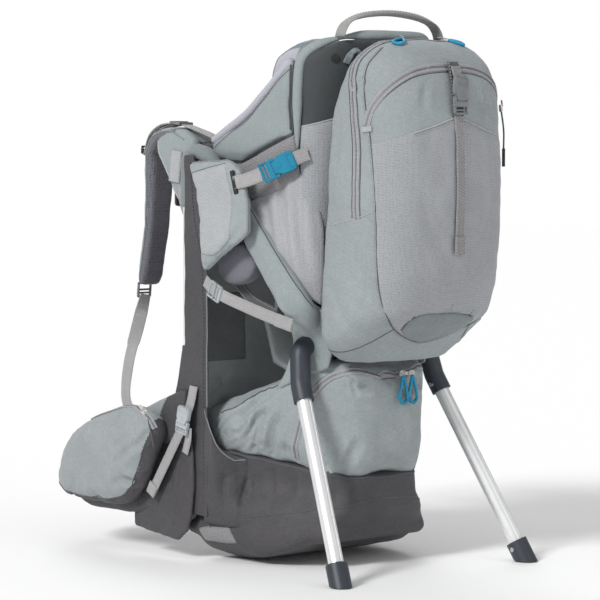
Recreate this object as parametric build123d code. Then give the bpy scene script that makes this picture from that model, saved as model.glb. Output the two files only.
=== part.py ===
from build123d import *
import os

# Child carrier backpack. Millimetres, +Z up. X is across the wearer (+X is the wearer's right),
# the wearer faces +Y and the daypack faces -Y. Z = 0 is the floor that the base and the stand feet rest on.
# The layout below puts Y = 0 on the wearer-side tubes; every part is moved by CENTRE_Y when it is written,
# which puts the origin under the middle of the whole carrier.
CENTRE_Y = 44.5

# Frame
TUBE_R = 8.0
FRAME_HALF = 150.0
FRAME_TOP = 570.0
TUBE_JOIN_Z = 100.0
RAIL_Z = 46.0
RAIL_REAR_Y = -212.0
RAIL_REAR_HALF = 90.0
FIT = 0.05

# Fold-out stand: the axle turns in the two hubs
AXLE_Y = -198.0
AXLE_Z = 308.0
AXLE_R = 9.0
AXLE_HALF = 104.0
ELBOW_R = 14.0
LEG_R = 10.5
LEG_WALL = 1.6
FOOT_R = 15.0
FOOT_LENGTH = 30.0
LEG_FOOT = Vector(-176, -343, 0)
LEG_TOP = Vector(-131, -221, 233)
SOCKET_DEPTH = 25.0

# Cockpit
WALL_OUT = 129.0
WALL_IN = 117.0
SHELL_FRONT_Y = -202.0
SHELL_LOW = 392.0
SHELL_TOP = 722.0

# Soft parts
HANDLE_Y = -251.0
HANDLE_HALF = 11.0
HANDLE_PIVOT_Z = 735.0
WEBBING = 2.5
WAIST_Y = 294.0
CLEAR = 0.6


def slab(plane, outline, low, high, corner=0.0):
    """A plate of an outline given in a plane's own axes, between two heights along its normal."""
    face = make_face(Polyline(*outline, close=True))
    if corner:
        face = fillet(face.vertices(), corner)
    return extrude(plane.offset(low) * face, amount=high - low, dir=plane.z_dir)


def side_slab(outline, x_low, x_high, corner=0.0):
    """A plate outlined in Y and Z, between two X values."""
    return slab(Plane.YZ, outline, x_low, x_high, corner)


def front_slab(outline, y_low, y_high, corner=0.0):
    """A plate outlined in X and Z, between two Y values."""
    return slab(Plane.XZ, outline, -y_high, -y_low, corner)


def plan_slab(outline, z_low, z_high, corner=0.0):
    """A plate outlined in X and Y, between two heights."""
    return slab(Plane.XY, outline, z_low, z_high, corner)


def tube(points, radius, bends):
    """A round bar along straight runs joined by bends."""
    path = FilletPolyline(*points, radius=bends) if len(points) > 2 else Line(*points)
    section = Plane(origin=path @ 0, z_dir=path % 0) * Circle(radius)
    return sweep(section, path=path)


def rod(start, end, radius):
    """A straight round bar."""
    run = Vector(end) - Vector(start)
    return extrude(Plane(origin=start, z_dir=run) * Circle(radius), amount=run.length, dir=run)


def strap(points, width, thickness=WEBBING, across=(1, 0, 0)):
    """A flat strap along straight runs; its width lies along the direction across."""
    runs = Part()
    for start, end in zip(points, points[1:]):
        run = Vector(end) - Vector(start)
        middle = (Vector(end) + Vector(start)) * 0.5
        place = Plane(origin=middle, x_dir=run, z_dir=run.cross(Vector(across)))
        runs += place * Box(run.length + thickness, width, thickness)
    return runs


def mirror_right(shape):
    return mirror(shape, about=Plane.YZ)


def both_sides(shape):
    return Part() + shape + mirror_right(shape)


def write(name, shape):
    export_step(Pos(0, CENTRE_Y, 0) * shape, f"parts/{name}.step")


def write_pair(name, left):
    write(f"{name}_left", left)
    write(f"{name}_right", mirror_right(left))


# ---------------------------------------------------------------- frame
def side_tube_path():
    """Up the wearer's side, over the shoulder corner and down the diagonal to the stand hub."""
    return [
        (-FRAME_HALF, 0, TUBE_JOIN_Z),
        (-FRAME_HALF, 0, FRAME_TOP),
        (-FRAME_HALF, -40, FRAME_TOP),
        (-142, -226, 354),
        (-72, -206, 337),
    ]


def side_tube(radius=TUBE_R):
    return tube(side_tube_path(), radius, [19, 26, 26])


def base_rail(radius=TUBE_R):
    corners = [
        (-FRAME_HALF, 0, TUBE_JOIN_Z),
        (-FRAME_HALF, 0, RAIL_Z),
        (-RAIL_REAR_HALF, RAIL_REAR_Y, RAIL_Z),
        (RAIL_REAR_HALF, RAIL_REAR_Y, RAIL_Z),
        (FRAME_HALF, 0, RAIL_Z),
        (FRAME_HALF, 0, TUBE_JOIN_Z),
    ]
    return tube(corners, radius, [30, 40, 40, 30])


def corner_sleeve():
    place = Pos(-FRAME_HALF, 0, TUBE_JOIN_Z)
    return place * (Cylinder(TUBE_R + 3, 36) - Cylinder(TUBE_R + FIT, 40))


def rear_strut(radius=7.0):
    half = 74.0
    corners = [(-half, -199, 286), (-half, -216, 67), (half, -216, 67), (half, -199, 286)]
    return tube(corners, radius, [28, 28])


def cross_bars():
    """The yoke bar at the shoulders and a bar at the height of the seat."""
    yoke = rod((-FRAME_HALF, -20, FRAME_TOP), (FRAME_HALF, -20, FRAME_TOP), TUBE_R)
    seat_bar = rod((-FRAME_HALF, 0, 300), (FRAME_HALF, 0, 300), TUBE_R - 1)
    return yoke + seat_bar - both_sides(side_tube(TUBE_R + FIT))


def hub(socket):
    outline = [(-183, 288), (-183, 326), (-192, 353), (-220, 353), (-215, 288)]
    block = side_slab(outline, -86, -60, 5)
    bore = rod((-100, AXLE_Y, AXLE_Z), (-50, AXLE_Y, AXLE_Z), AXLE_R + FIT)
    return block - bore - socket


# ---------------------------------------------------------------- stand
def leg_direction():
    return (LEG_FOOT - LEG_TOP).normalized()


def axle():
    return rod((-AXLE_HALF, AXLE_Y, AXLE_Z), (AXLE_HALF, AXLE_Y, AXLE_Z), AXLE_R)


def elbow():
    mouth = LEG_TOP - leg_direction() * SOCKET_DEPTH
    corners = [(-87, AXLE_Y, AXLE_Z), (-118, AXLE_Y, AXLE_Z), mouth, LEG_TOP]
    body = tube(corners, ELBOW_R, [22, 40])
    axle_socket = rod((-80, AXLE_Y, AXLE_Z), (-AXLE_HALF, AXLE_Y, AXLE_Z), AXLE_R + FIT)
    leg_socket = rod(mouth, LEG_TOP + leg_direction() * 5, LEG_R + FIT)
    return body - axle_socket - leg_socket


def leg():
    """A drawn tube with a shallow groove down its front and its back."""
    top = LEG_TOP - leg_direction() * (SOCKET_DEPTH - 1)
    bottom = LEG_FOOT - leg_direction() * 9
    groove_depth = 0.7
    run = bottom - top
    place = Plane(origin=(top + bottom) * 0.5, x_dir=(1, 0, 0), z_dir=run)
    groove = Pos(0, LEG_R, 0) * Box(4, 2 * groove_depth, run.length + 2)
    shape = rod(top, bottom, LEG_R) - place * groove - place * mirror(groove, about=Plane.XZ)
    return shape - rod(top, bottom, LEG_R - LEG_WALL)


def foot():
    """A cap on the leg's end, cut level where it stands on the floor."""
    top = LEG_FOOT - leg_direction() * FOOT_LENGTH
    past_floor = LEG_FOOT + leg_direction() * 20
    cap = rod(top, past_floor, FOOT_R) - rod(top, LEG_FOOT - leg_direction() * 8, LEG_R + FIT)
    above_floor = Pos(LEG_FOOT.X, LEG_FOOT.Y, 50) * Box(100, 100, 100)
    return cap & above_floor


def stand_screw(along, body):
    """A round screw head on the inner side of an elbow or a foot."""
    centre = LEG_TOP + leg_direction() * along
    head = rod(centre, centre + Vector(ELBOW_R + 2.6, 0, 0), 3.4)
    return head - rod(centre, centre + Vector(ELBOW_R - 0.5, 0, 0), 5) - body


# ---------------------------------------------------------------- back and hip belt
def frame_sheet():
    return front_slab([(-138, 150), (138, 150), (132, 556), (-132, 556)], 9.0, 11.5, 30)


def back_panel_pad():
    outline = [(-112, 200), (112, 200), (100, 400), (88, 548), (-88, 548), (-100, 400)]
    return front_slab(outline, 12, 31, 26)


def lumbar_pad():
    return front_slab([(-118, 95), (118, 95), (112, 188), (-112, 188)], 12, 40, 22)


def side_band():
    outline = [(-12, 566), (-30, 566), (-58, 400), (-57, 62), (14, 62), (14, 284), (-12, 300)]
    return side_slab(outline, -165, -161.2, 2)


def hip_wing():
    """A padded plate that curves round the wearer's hip to a tapered tip."""
    plan = [
        (-121, 18), (-162, 42), (-183, 104), (-183, 196), (-158, 280), (-147, 274),
        (-169, 194), (-169, 108), (-151, 56), (-121, 32),
    ]
    side = [(0, 66), (92, 50), (180, 50), (284, 76), (280, 108), (212, 160), (132, 200), (0, 202)]
    return plan_slab(plan, 50, 210, 3) & side_slab(side, -220, -100, 10)


def hip_pocket():
    plan = [(-186, 4), (-203, 6), (-205, 120), (-205, 200), (-192, 250), (-169, 279), (-160.5, 277), (-184.4, 198)]
    side = [(8, 198), (66, 213), (129, 208), (216, 167), (279, 106), (279, 78), (190, 60), (84, 58), (48, 122)]
    return plan_slab(plan, 40, 230, 3) & side_slab(side, -220, -150, 8)


def hip_fin():
    outline = [(-44, 171), (-46, 60), (-22, 27), (82, 34), (82, 44), (38, 62), (32, 150)]
    return side_slab(outline, -171.5, -165.6, 4)


def hip_fin_strap():
    points = [(-167.2, -30, 242), (-174, -27, 178), (-173.4, 31, 90)]
    return strap(points, 18, WEBBING, across=(0, 1, 0.4))


def waist_strap_left():
    points = [(-142.5, 279, 93), (-112, WAIST_Y, 96), (-43.5, WAIST_Y, 96)]
    return strap(points, 36, WEBBING, across=(0, 0, 1))


def waist_buckle_socket():
    shell = Pos(-18, WAIST_Y, 96) * Box(46, 13, 48)
    shell = fillet(shell.edges().filter_by(Axis.Y), 5)
    cavity = Pos(-4, WAIST_Y, 96) * Box(30, 8, 38)
    return shell - cavity


def waist_buckle_plug():
    """The pronged half: a block with two prongs that sit in the socket."""
    block = Pos(22, WAIST_Y, 96) * Box(32, 12, 46)
    block = fillet(block.edges().filter_by(Axis.Y), 5)
    prong = Pos(-2, WAIST_Y, 96 + 13) * Box(20, 6, 8)
    return block + prong + mirror(prong, about=Plane.XY.offset(96))


# ---------------------------------------------------------------- shoulder harness
def harness_yoke():
    outline = [(-50, 430), (50, 430), (62, 512), (121, 530), (121, 558), (-121, 558), (-121, 530), (-62, 512)]
    return front_slab(outline, 33, 43, 8)


def shoulder_strap():
    """A padded strap that rises from the yoke, arches over the shoulder and hangs in front."""
    outer = [(34, 560), (50, 593), (90, 608), (128, 602), (150, 576), (153, 520), (160, 458), (179, 374)]
    inner = [(167, 372), (148, 456), (141, 520), (138, 568), (122, 588), (90, 594), (60, 582), (46, 560)]
    return side_slab(outer + inner, -115, -55, 4)


def shoulder_webbing():
    points = [(-88, 173.5, 369), (-135, 126, 218), (-146, 14, 214)]
    return strap(points, 20, WEBBING, across=(1, -0.2, 0.2))


def load_lifter():
    return strap([(-91, -14, 580.5), (-91, 80, 613)], 20)


def sternum_strap():
    left = strap([(-53, 148, 503), (-45, 148, 503)], 18, WEBBING, across=(0, 0, 1))
    right = strap([(4, 148, 503), (53, 148, 503)], 18, WEBBING, across=(0, 0, 1))
    return left + right


def sternum_buckle():
    socket = Pos(-30, 148, 503) * Box(26, 9, 27)
    plug = Pos(-7, 148, 503) * Box(18, 8, 25)
    return fillet(socket.edges().filter_by(Axis.Y), 3) + fillet(plug.edges().filter_by(Axis.Y), 3)


# ---------------------------------------------------------------- child's seat and cockpit
def seat_sling():
    """A hammock seat, low in the middle and raised at the front and the back."""
    upper = [(-48, 338), (-68, 280), (-118, 262), (-160, 274), (-172, 338)]
    lower = [(-183, 338), (-168, 266), (-120, 251), (-60, 271), (-37, 338)]
    return side_slab(upper + lower, -48, 48, 3)


def seat_back_pad():
    return front_slab([(-84, 362), (84, 362), (76, 556), (-76, 556)], -205, -191, 24)


def child_strap():
    return front_slab([(-24, 414), (-48, 414), (-52, 552), (-28, 552)], -190.4, -183, 5)


def child_buckle():
    shell = Pos(0, -184, 388) * Box(52, 13, 46)
    crotch_strap = strap([(0, -118, 264), (0, -156, 344), (0, -181, 367)], 24)
    return fillet(shell.edges().filter_by(Axis.Y), 8) + crotch_strap


def shell_ring(depth, thickness, height):
    """The plan of the shell at one height: a half ring, deeper towards the top."""
    outer = EllipticalCenterArc((0, SHELL_FRONT_Y), WALL_OUT, depth, 180, arc_size=180)
    inside = WALL_OUT - thickness
    inner = EllipticalCenterArc((0, SHELL_FRONT_Y), inside, depth - thickness, 180, arc_size=180)
    edges = Curve() + outer + inner + Line(outer @ 0, inner @ 0) + Line(outer @ 1, inner @ 1)
    return Pos(0, 0, height) * make_face(edges)


def headrest_shell():
    """The cockpit's stiff rear wall, leaning back, with a rounded top."""
    wall = loft([shell_ring(32, 12, SHELL_LOW), shell_ring(72, 12, SHELL_TOP + 10)], ruled=True)
    right = [(140, SHELL_LOW), (140, 676), (116, 706), (84, SHELL_TOP)]
    outline = right + [(-x, z) for x, z in reversed(right)]
    front_view = front_slab(outline, -300, -190, 18)
    return wall & front_view


def headrest_pad():
    """A bolster that wraps the back and the two sides of the child's head."""
    plan = [(-97, -96), (-97, -226), (97, -226), (97, -96), (62, -96), (62, -196), (-62, -196), (-62, -96)]
    side = [(-94, 590), (-91, 644), (-102, 682), (-126, 707), (-160, 722), (-197, 727), (-232, 725), (-232, 590)]
    outer = plan_slab(plan[:4], 560, 760, 30)
    gap = Pos(0, -96, 660) * Box(124, 200, 240)
    return (outer - gap) & side_slab(side, -110, 110, 10)


def cockpit_wall():
    outline = [(-31, 408), (-31, 577), (-62, 596), (-106, 622), (-154, 657), (-201, 697), (-201, 395), (-150, 408)]
    return side_slab(outline, -WALL_OUT, -WALL_IN, 4)


def flap_pocket():
    outline = [(-33, 563), (-120, 562), (-144, 546), (-160, 500), (-159, 458), (-74, 404), (-62, 404)]
    return side_slab(outline, -180, -165.6, 5)


def diagonal_sleeve(core):
    """Padding round the diagonal run of the side tube."""
    top = Vector(-148.1, -84, 518.9)
    bottom = Vector(-143.1, -200, 384.2)
    return rod(top, bottom, TUBE_R + 4.5) - core


def side_strap():
    """The webbing that closes the cockpit side, and the compression strap below it."""
    entry_front = strap([(-178, -156.5, 533), (-168, -177.3, 540)], 20, WEBBING, across=(0, 0.3, 1))
    entry_rear = strap([(-139.6, -214.6, 562), (-127.6, -226, 567)], 20, WEBBING, across=(0, 0.3, 1))
    lower = strap([(-166.8, -58, 392), (-166, -86, 374), (-158, -214, 341)], 18, WEBBING, across=(0, 0.25, 1))
    return entry_front + entry_rear + lower


def side_buckle():
    start = Vector(-166.5, -180.5, 541.4)
    end = Vector(-142, -212.4, 560.6)
    run = end - start
    place = Plane(origin=(start + end) * 0.5, x_dir=run, z_dir=run.cross(Vector(0, 0.3, 1)))
    return place * Box(run.length - 1, 29, 9)


# ---------------------------------------------------------------- storage base
def base_plan(half_front, half_rear, rear_y):
    """The plan of the storage base: wide at the frame, narrow and rounded between the stand legs."""
    low = [(-half_front, -12), (-half_front, -60), (-half_rear, rear_y + 50), (-half_rear + 40, rear_y)]
    return low + [(-x, y) for x, y in reversed(low)]


def base_boot(tubes):
    """The tough fabric tub at the bottom, lowest near the wearer and rounded under its sides."""
    side = [(-10, 14), (-22, 0), (-84, 0), (-160, 18), (-216, 46), (-246, 82), (-262, 124), (-10, 160)]
    front = [(-153, 42), (-134, 16), (-98, 0), (98, 0), (134, 16), (153, 42), (153, 180), (-153, 180)]
    tub = plan_slab(base_plan(152, 108, -254), 0, 180, 10) & side_slab(side, -160, 160)
    return (tub & front_slab(front, -300, 20)) - tubes


def storage_bag(tubes):
    side = [(-13, 160.4), (-262, 124.8), (-258, 240), (-246, 276), (-214, 284), (-150, 252), (-62, 210), (-13, 206)]
    return (plan_slab(base_plan(140, 100, -252), 120, 300, 10) & side_slab(side, -160, 160, 4)) - tubes


def zip_slider(side):
    """A metal slider with a short cord loop hanging from it."""
    x = 22 + side * 9.0
    slider = Pos(x, -257.5, 262) * Box(8, 5, 13)
    ring = SlotOverall(34, 15, rotation=90) - SlotOverall(28, 9, rotation=90)
    loop = Pos(x, -257.5, 240) * extrude(Plane.XZ * ring, amount=1.5, both=True)
    return slider + loop


# ---------------------------------------------------------------- daypack
DAYPACK_RINGS = [
    # height, half width, back Y, front Y, radius of the two front corners
    (291, 78, -243, -268, 17),
    (304, 106, -238, -280, 34),
    (322, 121, -238, -318, 60),
    (350, 123, -240, -357, 68),
    (400, 124, -245, -373, 70),
    (500, 124, -256, -379, 70),
    (610, 123, -263, -378, 70),
    (660, 119, -275, -373, 64),
    (690, 108, -285, -362, 54),
    (707, 92, -291, -346, 42),
    (718, 66, -298, -328, 22),
]
BACK_CORNER = 7.0
POCKET_FACE_Y = -352.0


def daypack_ring(height, half, back, front, corner):
    """A D-shaped section: nearly square at the frame, well rounded in front."""
    face = make_face(Polyline((-half, back), (-half, front), (half, front), (half, back), close=True))
    face = fillet(face.vertices().group_by(Axis.Y)[0], corner)
    face = fillet(face.vertices().group_by(Axis.Y)[-1], BACK_CORNER)
    return Pos(0, 0, height) * face


def daypack_shell():
    return loft([daypack_ring(*ring) for ring in DAYPACK_RINGS], ruled=True)


def daypack_pocket_region(inset):
    low = [(-160, 352), (160, 352), (160, 566 - inset), (0, 616 - inset), (-160, 566 - inset)]
    return front_slab(low, -420, POCKET_FACE_Y - inset)


def daypack_strap():
    points = [(0, -377.5, 668), (0, -381, 620), (0, -382, 500), (0, -379.5, 434)]
    return strap(points, 14)


def daypack_buckle():
    shell = Pos(0, -386, 645) * Box(24, 7, 48)
    return fillet(shell.edges().filter_by(Axis.Y), 4)


def top_handle():
    """A webbing handle that swings about its two sewn ends, which are rounded about that line."""
    outer = [(-97, 722), (-89, 742), (-66, 754), (66, 754), (89, 742), (97, 722)]
    inner = [(89, 722), (83, 737), (64, 747), (-64, 747), (-83, 737), (-89, 722)]
    webbing = front_slab(outer + inner, HANDLE_Y - HANDLE_HALF, HANDLE_Y + HANDLE_HALF)
    ends = rod((-110, HANDLE_Y, HANDLE_PIVOT_Z), (110, HANDLE_Y, HANDLE_PIVOT_Z), HANDLE_HALF)
    bridge = Pos(0, HANDLE_Y, HANDLE_PIVOT_Z + 20) * Box(220, 2 * HANDLE_HALF, 40)
    return webbing & (ends + bridge)


# ---------------------------------------------------------------- write every part
def main():
    os.makedirs("parts", exist_ok=True)

    write_pair("frame_side_tube", side_tube())
    write("frame_base_rail", base_rail())
    write("frame_corner_sleeves", both_sides(corner_sleeve()))
    write("frame_rear_strut", rear_strut())
    write("frame_cross_bars", cross_bars())
    write_pair("kickstand_hub", hub(side_tube(TUBE_R + FIT)))

    write("kickstand_axle", axle())
    left_elbow = elbow()
    left_foot = foot()
    write_pair("kickstand_elbow", left_elbow)
    write_pair("kickstand_leg", leg())
    write_pair("kickstand_foot", left_foot)
    leg_length = (LEG_FOOT - LEG_TOP).length
    screws = stand_screw(-10, left_elbow) + stand_screw(leg_length - 18, left_foot)
    write("kickstand_screws", both_sides(screws))

    write("frame_sheet", frame_sheet())
    write("back_panel_pad", back_panel_pad())
    write("lumbar_pad", lumbar_pad())
    write("side_bands", both_sides(side_band()))
    write_pair("hip_wing", hip_wing())
    write_pair("hip_pocket", hip_pocket())
    write("hip_fins", both_sides(hip_fin()))
    write("hip_fin_straps", both_sides(hip_fin_strap()))
    write_pair("waist_strap", waist_strap_left())
    write("waist_buckle_socket", waist_buckle_socket())
    write("waist_buckle_plug", waist_buckle_plug())

    write("harness_yoke", harness_yoke())
    write_pair("shoulder_strap", shoulder_strap())
    write("shoulder_webbing", both_sides(shoulder_webbing()))
    write("load_lifters", both_sides(load_lifter()))
    write("sternum_strap", sternum_strap())
    write("sternum_buckle", sternum_buckle())

    write("seat_sling", seat_sling())
    write("seat_back_pad", seat_back_pad())
    write("child_harness", both_sides(child_strap()))
    write("child_buckle", child_buckle())
    write("headrest_shell", headrest_shell())
    write("headrest_pad", headrest_pad())
    write_pair("cockpit_wall", cockpit_wall())
    write_pair("flap_pocket", flap_pocket())
    write("diagonal_sleeves", both_sides(diagonal_sleeve(side_tube(TUBE_R + FIT))))
    write("side_straps", both_sides(side_strap()))
    write("side_buckles", both_sides(side_buckle()))

    hidden_tubes = base_rail(TUBE_R + FIT) + rear_strut(7 + FIT)
    write("base_boot", base_boot(hidden_tubes))
    write("storage_bag", storage_bag(hidden_tubes))
    write("storage_zip_slider_left", zip_slider(-1))
    write("storage_zip_slider_right", zip_slider(1))

    pack = daypack_shell()
    write("daypack_body", pack - daypack_pocket_region(0))
    write("daypack_front_pocket", pack & daypack_pocket_region(CLEAR))
    write("daypack_strap", daypack_strap())
    write("daypack_buckle", daypack_buckle())
    write("top_handle", top_handle())


main()
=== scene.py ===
import math

import bmesh
import bpy
import numpy as np
from mathutils import Matrix, Vector
from mathutils.bvhtree import BVHTree


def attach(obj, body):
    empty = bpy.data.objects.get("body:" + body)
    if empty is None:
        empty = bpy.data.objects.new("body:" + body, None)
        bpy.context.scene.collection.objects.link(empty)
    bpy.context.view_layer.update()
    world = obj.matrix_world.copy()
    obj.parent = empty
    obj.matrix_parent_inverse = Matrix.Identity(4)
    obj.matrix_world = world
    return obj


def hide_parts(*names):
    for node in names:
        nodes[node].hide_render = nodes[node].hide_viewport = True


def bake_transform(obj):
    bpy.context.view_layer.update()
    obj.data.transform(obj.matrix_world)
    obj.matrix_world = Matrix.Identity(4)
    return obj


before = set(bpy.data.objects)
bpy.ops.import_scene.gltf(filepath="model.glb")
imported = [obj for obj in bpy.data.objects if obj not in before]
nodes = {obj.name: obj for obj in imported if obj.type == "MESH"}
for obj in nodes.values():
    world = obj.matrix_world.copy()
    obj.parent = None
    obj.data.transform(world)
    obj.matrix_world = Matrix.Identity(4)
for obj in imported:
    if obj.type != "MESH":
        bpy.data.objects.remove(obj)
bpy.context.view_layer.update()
scene = bpy.context.scene

# Lengths are given in millimetres in the layout of the part: Y = 0 is the line of the wearer-side tubes,
# and the whole carrier is moved by CENTRE_Y into the row frame.
MM = 0.001
CENTRE_Y = 44.5
LEFT, RIGHT = -1, 1
SIDES = ((LEFT, "left"), (RIGHT, "right"))


def at(x, y, z):
    return Vector((x, y + CENTRE_Y, z)) * MM


def points(*coordinates):
    return [at(*c) for c in coordinates]


def mirrored(places):
    return [Vector((-p.x, p.y, p.z)) for p in places]


def on_side(places, side):
    """Places given on the left, or their mirror image for the right side."""
    return places if side == LEFT else mirrored(places)


def runs(line, both):
    """A line on its own, or with its mirror image."""
    return [line, mirrored(line)] if both else [line]


def between(low, high):
    """The four edge lines of a panel whose ends run straight from its low edge to its high edge."""
    return low, high, [low[0], high[0]], [low[-1], high[-1]]


def arch(half):
    """A line given on the left side and its middle, carried over to the right side."""
    return half + [p for p in reversed(mirrored(half)) if p.x > 1e-6]


# ---------------------------------------------------------------- mesh helpers
def read(mesh):
    co = np.zeros(len(mesh.vertices) * 3)
    mesh.vertices.foreach_get("co", co)
    return co.reshape(-1, 3)


def write(mesh, co):
    mesh.vertices.foreach_set("co", np.ascontiguousarray(co, dtype=np.float32).ravel())
    mesh.update()


def normals_of(mesh):
    out = np.zeros(len(mesh.vertices) * 3)
    mesh.vertex_normals.foreach_get("vector", out)
    return out.reshape(-1, 3)


def bake(obj):
    """Replaces an object's mesh by what its modifiers make of it."""
    bpy.context.view_layer.update()
    mesh = bpy.data.meshes.new_from_object(obj.evaluated_get(bpy.context.evaluated_depsgraph_get()))
    obj.modifiers.clear()
    obj.data = mesh


def relax(mesh, rounds):
    """Rounds a form by moving each point halfway to the middle of its neighbours."""
    co = read(mesh)
    ends = np.zeros(len(mesh.edges) * 2, int)
    mesh.edges.foreach_get("vertices", ends)
    ends = ends.reshape(-1, 2)
    count = np.bincount(ends.ravel(), minlength=len(co))[:, None]
    for _ in range(rounds):
        total = np.zeros_like(co)
        np.add.at(total, ends[:, 0], co[ends[:, 1]])
        np.add.at(total, ends[:, 1], co[ends[:, 0]])
        co += 0.5 * (total / count - co)
    write(mesh, co)


def swell(mesh, distance):
    write(mesh, read(mesh) + normals_of(mesh) * distance * MM)


def face_outwards(mesh):
    bm = bmesh.new()
    bm.from_mesh(mesh)
    bmesh.ops.recalc_face_normals(bm, faces=bm.faces)
    bm.to_mesh(mesh)
    bm.free()


def finish_piece(obj, material, body, replaces=(), sharp=None):
    """Gives a piece its finish, its outward faces and the body it rides on, and hides the CAD parts it
    replaces.
    """
    mesh = obj.data
    face_outwards(mesh)
    if not mesh.materials:
        mesh.materials.append(MATERIALS[material])
    mesh.shade_smooth()
    if sharp:
        mesh.set_sharp_from_angle(angle=math.radians(sharp))
    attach(obj, body)
    if replaces:
        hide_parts(*replaces)
    return obj


def new_object(name, mesh):
    obj = bpy.data.objects.new(name, mesh)
    scene.collection.objects.link(obj)
    return obj


def mesh_object(name, verts, faces):
    mesh = bpy.data.meshes.new(name)
    mesh.from_pydata([tuple(v) for v in verts], [], faces)
    mesh.validate()
    return new_object(name, mesh)


def flipped_copy(obj, name):
    """The right-hand twin of a left-hand piece."""
    mesh = obj.data.copy()
    mesh.transform(Matrix.Scale(-1, 4, (1, 0, 0)))
    mesh.flip_normals()
    return new_object(name, mesh)


def twins(left, material, body, node=None):
    """Finishes a left-hand piece and its mirror image, for a left CAD node or one that is both sides."""
    right = flipped_copy(left, left.name.replace("_left", "_right"))
    right_node = node and node.replace("_left", "_right")
    finish_piece(left, material, body, [node] if node else [])
    finish_piece(right, material, body, [right_node] if right_node != node else [])


# ---------------------------------------------------------------- lines and sweeps
def resample(places, step=4.0, closed=False):
    """Points about a step apart on a smooth curve through the given ones."""
    count = len(places)
    out = []
    for i in range(count if closed else count - 1):
        b = places[i]
        c = places[(i + 1) % count]
        a = places[i - 1] if closed or i > 0 else b * 2 - c
        d = places[(i + 2) % count] if closed or i + 2 < count else c * 2 - b
        pieces = max(1, round((c - b).length / (step * MM)))
        for k in range(pieces):
            t = k / pieces
            out.append(0.5 * (2 * b + (c - a) * t + (2 * a - 5 * b + 4 * c - d) * t * t
                              + (3 * b - a - 3 * c + d) * t ** 3))
    return out if closed else out + [places[-1]]


def flat_profile(width, thick):
    """The cross-section of a flat strip with bevelled edges, resting on its line."""
    w = width / 2
    e = min(0.35 * thick, w / 2)
    low = [(-w, e), (-w + e, 0), (w - e, 0), (w, e)]
    return low + [(x, thick - y) for x, y in reversed(low)]


def oval(wide, high, sides=16, powers=(1.0, 1.0)):
    """A rounded cross-section from its two half sizes; powers under 1 square it off."""
    def bend(value, power):
        return math.copysign(abs(value) ** power, value)

    turn = [2 * math.pi * k / sides for k in range(sides)]
    return [(wide * bend(math.cos(a), powers[0]), high * bend(math.sin(a), powers[1])) for a in turn]


def sweep(path, outs, profile, closed=False):
    """Vertices and faces of a profile, in (across, out) millimetres, carried along a path."""
    count = len(path)
    verts = []
    for i, place in enumerate(path):
        before = path[i - 1] if closed or i else path[i]
        after = path[(i + 1) % count] if closed or i + 1 < count else path[i]
        along = (after - before).normalized()
        out = (outs[i] - along * outs[i].dot(along)).normalized()
        across = along.cross(out)
        shape = profile(i / (count - 1)) if callable(profile) else profile
        verts += [place + (across * u + out * v) * MM for u, v in shape]
    sides = len(verts) // count
    faces = []
    for i in range(count if closed else count - 1):
        for k in range(sides):
            a, b = i * sides + k, i * sides + (k + 1) % sides
            j = (i + 1) % count * sides
            faces.append((a, b, j + (k + 1) % sides, j + k))
    if not closed:
        faces += [tuple(range(sides))[::-1], tuple(range((count - 1) * sides, count * sides))]
    return verts, faces


def neighbours(items):
    """The items before and after each one of a list; an end stands in for the one beyond it."""
    return zip(items[:1] + items[:-1], items[1:] + items[-1:])


def merged(parts):
    """Several parts, each its vertices and faces, as one."""
    verts, faces = [], []
    for more, loops in parts:
        base = len(verts)
        verts += more
        faces += [tuple(base + i for i in f) for f in loops]
    return verts, faces


class Skin:
    """The finished surface of some pieces, for what is sewn on it."""

    def __init__(self, *objects):
        parts = [([v.co.copy() for v in obj.data.vertices], [tuple(p.vertices) for p in obj.data.polygons])
                 for obj in objects]
        self.tree = BVHTree.FromPolygons(*merged(parts))

    def settle(self, places, lift=0.0):
        """The nearest places on the surface and the outward directions there."""
        hits = [self.tree.find_nearest(p) for p in places]
        outs = [h[1] for h in hits]
        outs = [(a + out * 2 + b).normalized() for out, (a, b) in zip(outs, neighbours(outs))]
        return [h[0] + o * lift * MM for h, o in zip(hits, outs)], outs


STITCHES = {}


def add_boxes(key, places, alongs, outs, size):
    """Small blocks, such as stitches and zip teeth, gathered into one piece for each key."""
    verts, faces = STITCHES.setdefault(key, ([], []))
    length, width, height = (s * MM / 2 for s in size)
    for place, along, out in zip(places, alongs, outs):
        across = along.cross(out).normalized()
        base = len(verts)
        for a in (-length, length):
            for b, c in ((-width, -height), (width, -height), (width, height), (-width, height)):
                verts.append(place + along * a + across * b + out * c)
        faces += [(base, base + 3, base + 2, base + 1), (base + 4, base + 5, base + 6, base + 7)]
        for k in range(4):
            faces.append((base + k, base + (k + 1) % 4, base + 4 + (k + 1) % 4, base + 4 + k))


def stitch(path, outs, body, shift=0.0, dash=3.0, gap=2.4, thread="thread_light"):
    """A row of stitches along a line, shifted to one side of it."""
    pitch = dash + gap
    travelled = pitch / 2
    spots, alongs, normals = [], [], []
    for i in range(len(path) - 1):
        run = path[i + 1] - path[i]
        length = run.length / MM
        if length < 1e-6:
            continue
        along = run.normalized()
        side = along.cross(outs[i])
        while travelled < length:
            spots.append(path[i] + along * travelled * MM + (side * shift + outs[i] * 0.3) * MM)
            alongs.append(along)
            normals.append(outs[i])
            travelled += pitch
        travelled -= length
    add_boxes((body, thread), spots, alongs, normals, (dash, 0.7, 0.6))


def piping(name, skin, line, body, radius=1.3, material="seam", lift=0.0, both=False):
    """A sewn cord or a thin seam line lying on a surface."""
    parts = []
    for places in runs(line, both):
        path, outs = skin.settle(resample(places), lift)
        parts.append(sweep(path, outs, oval(radius, radius, 8)))
    finish_piece(mesh_object(name, *merged(parts)), material, body)


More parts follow.
